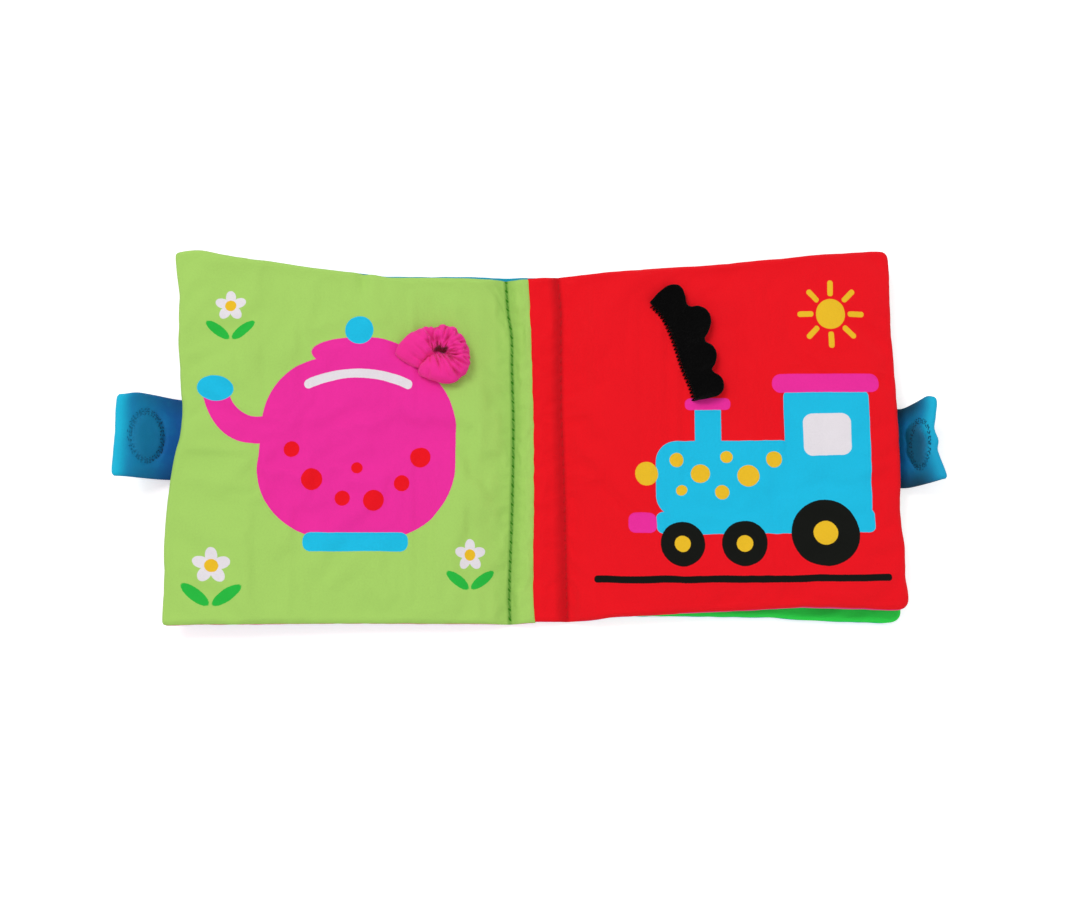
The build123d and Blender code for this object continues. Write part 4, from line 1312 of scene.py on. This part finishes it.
def makeFlap(name):
    columns, rows = flap["columns"], flap["rows"]
    sewnEdge, _ = curveThrough(flap["sewn"], columns)
    scallops, length = curveThrough(flap["scallops"], columns)
    mesh = meshFrom(layeredGrid(columns, rows), name)
    i, j, layer = gridOf(mesh)
    v = 0.5 - 0.5 * np.cos(math.pi * j / (rows - 1))
    place = sewnEdge[i] * (1 - v)[:, None] + scallops[i] * v[:, None]
    width = np.linalg.norm(scallops[i] - sewnEdge[i], axis=1)
    inwards = np.minimum(np.minimum(v, 1 - v) * width, np.minimum(i, columns - 1 - i) * length / columns)
    half = flap["thickness"] / 2
    x, y = spread["spine"] + place[:, 0], place[:, 1]
    ground = np.array([heightOf(surfaces["rightPage"], *spot) for spot in zip(x, y)])
    (fine, fineHeight), (wide, wideHeight) = flap["fuzz"], flap["wave"]
    fuzz = waves(np.stack([x, y, layer * 3], 1), fine, 15) * fineHeight
    fuzz += waves(np.stack([x, y, layer], 1), wide, 16) * wideHeight
    z = ground + flap["seat"] + half + flap["lean"] * v ** flap["leanCurve"]
    z += layer * half * rounded(inwards, half) + fuzz * ramp(v, 0.0, 0.25)
    frayX, frayY = (part * fuzz * ramp(v, 0.3, 1) for part in flap["fray"])
    setPoints(mesh, np.stack([x + frayX, y + frayY, z], 1) * mm)
    keepFlat(mesh, place[:, 0], place[:, 1])
    piece = addPiece(name, mesh, blackFelt)
    smoothed(piece)
    return piece


flapPiece = makeFlap("feltFlap")
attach(flapPiece, "right_cover")
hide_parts("felt_flap")

# zigzag over the sewn edge: its ends lie out on the page and in on the felt
zigzag = {"pitch": 1.7, "out": 1.3, "inside": 0.9, "radius": 0.33, "onPage": 0.18, "onFelt": 0.25,
          "steps": 240}


def zigzagEnds():
    line, length = curveThrough(flap["sewn"], zigzag["steps"] + 1)
    ends = []
    for number in range(int(length / zigzag["pitch"] * 2)):
        outside = number % 2 == 1
        at = int(number * zigzag["pitch"] / 2 / length * zigzag["steps"])
        high = min(at + 3, zigzag["steps"])
        run = Vector((*(line[high] - line[max(high - 6, 0)]), 0)).normalized()
        away = -zigzag["out"] if outside else zigzag["inside"]
        spot = Vector((*line[at], 0)) + Vector((run.y, -run.x, 0)) * away
        x, y = spread["spine"] + spot.x, spot.y
        lift = zigzag["onPage"] if outside else flap["thickness"] + zigzag["onFelt"]
        ends.append((x, y, heightOf(surfaces["rightPage"], x, y) + lift))
    return ends


teeth = zigzagEnds()
zigzagPiece = addStitches("zigzagStitch", list(zip(teeth, teeth[1:])), zigzag["radius"], blackThread)
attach(zigzagPiece, "right_cover")
print("flap sewn on")


# floor, lamps and world

# lamps: place, width and power; world: its light on the book; floorGlow: whitens the floor for the camera
studio = {"key lamp": ((-0.7, 0.75, 1.5), 0.9, 12.0), "fill lamp": ((0.9, -0.5, 1.3), 1.2, 3.4),
          "world": 0.62, "floorGlow": 0.45}
for name in ("key lamp", "fill lamp"):
    place, size, power = studio[name]
    data = bpy.data.lights.new(name, "AREA")
    data.shape, data.size, data.energy = "DISK", size, power
    lamp = addObject(name, data)
    lamp.location = place
    lamp.rotation_euler = (-Vector(place)).to_track_quat("-Z", "Y").to_euler()

world = bpy.data.worlds.new("studio")
bpy.context.scene.world = world
world.use_nodes = True
tree = world.node_tree
background = tree.nodes["Background"]
rays = addNode(tree, "ShaderNodeLightPath").outputs
seen = maths(tree, "MAXIMUM", maths(tree, "MAXIMUM", rays["Is Camera Ray"], rays["Is Glossy Ray"]),
             rays["Is Transmission Ray"])
background.inputs["Color"].default_value = (1, 1, 1, 1)
tree.links.new(ranged(tree, seen, 0, 1, studio["world"], 1.0), background.inputs["Strength"])

bm = bmesh.new()
bmesh.ops.create_grid(bm, x_segments=1, y_segments=1, size=3.0)
floor = addObject("floor", meshFrom(bm, "floor"))
floorMaterial, tree, shader = newMaterial("pale floor", roughness=0.8, sheen=0.0, specular=0.5)
shader.inputs["Base Color"].default_value = (0.9, 0.9, 0.9, 1)
shader.inputs["Emission Color"].default_value = (1, 1, 1, 1)
rays = addNode(tree, "ShaderNodeLightPath").outputs
tree.links.new(maths(tree, "MULTIPLY", rays["Is Camera Ray"], studio["floorGlow"]),
               shader.inputs["Emission Strength"])
floor.data.materials.append(floorMaterial)

bpy.context.scene.view_settings.view_transform = "Standard"
print("scene built")
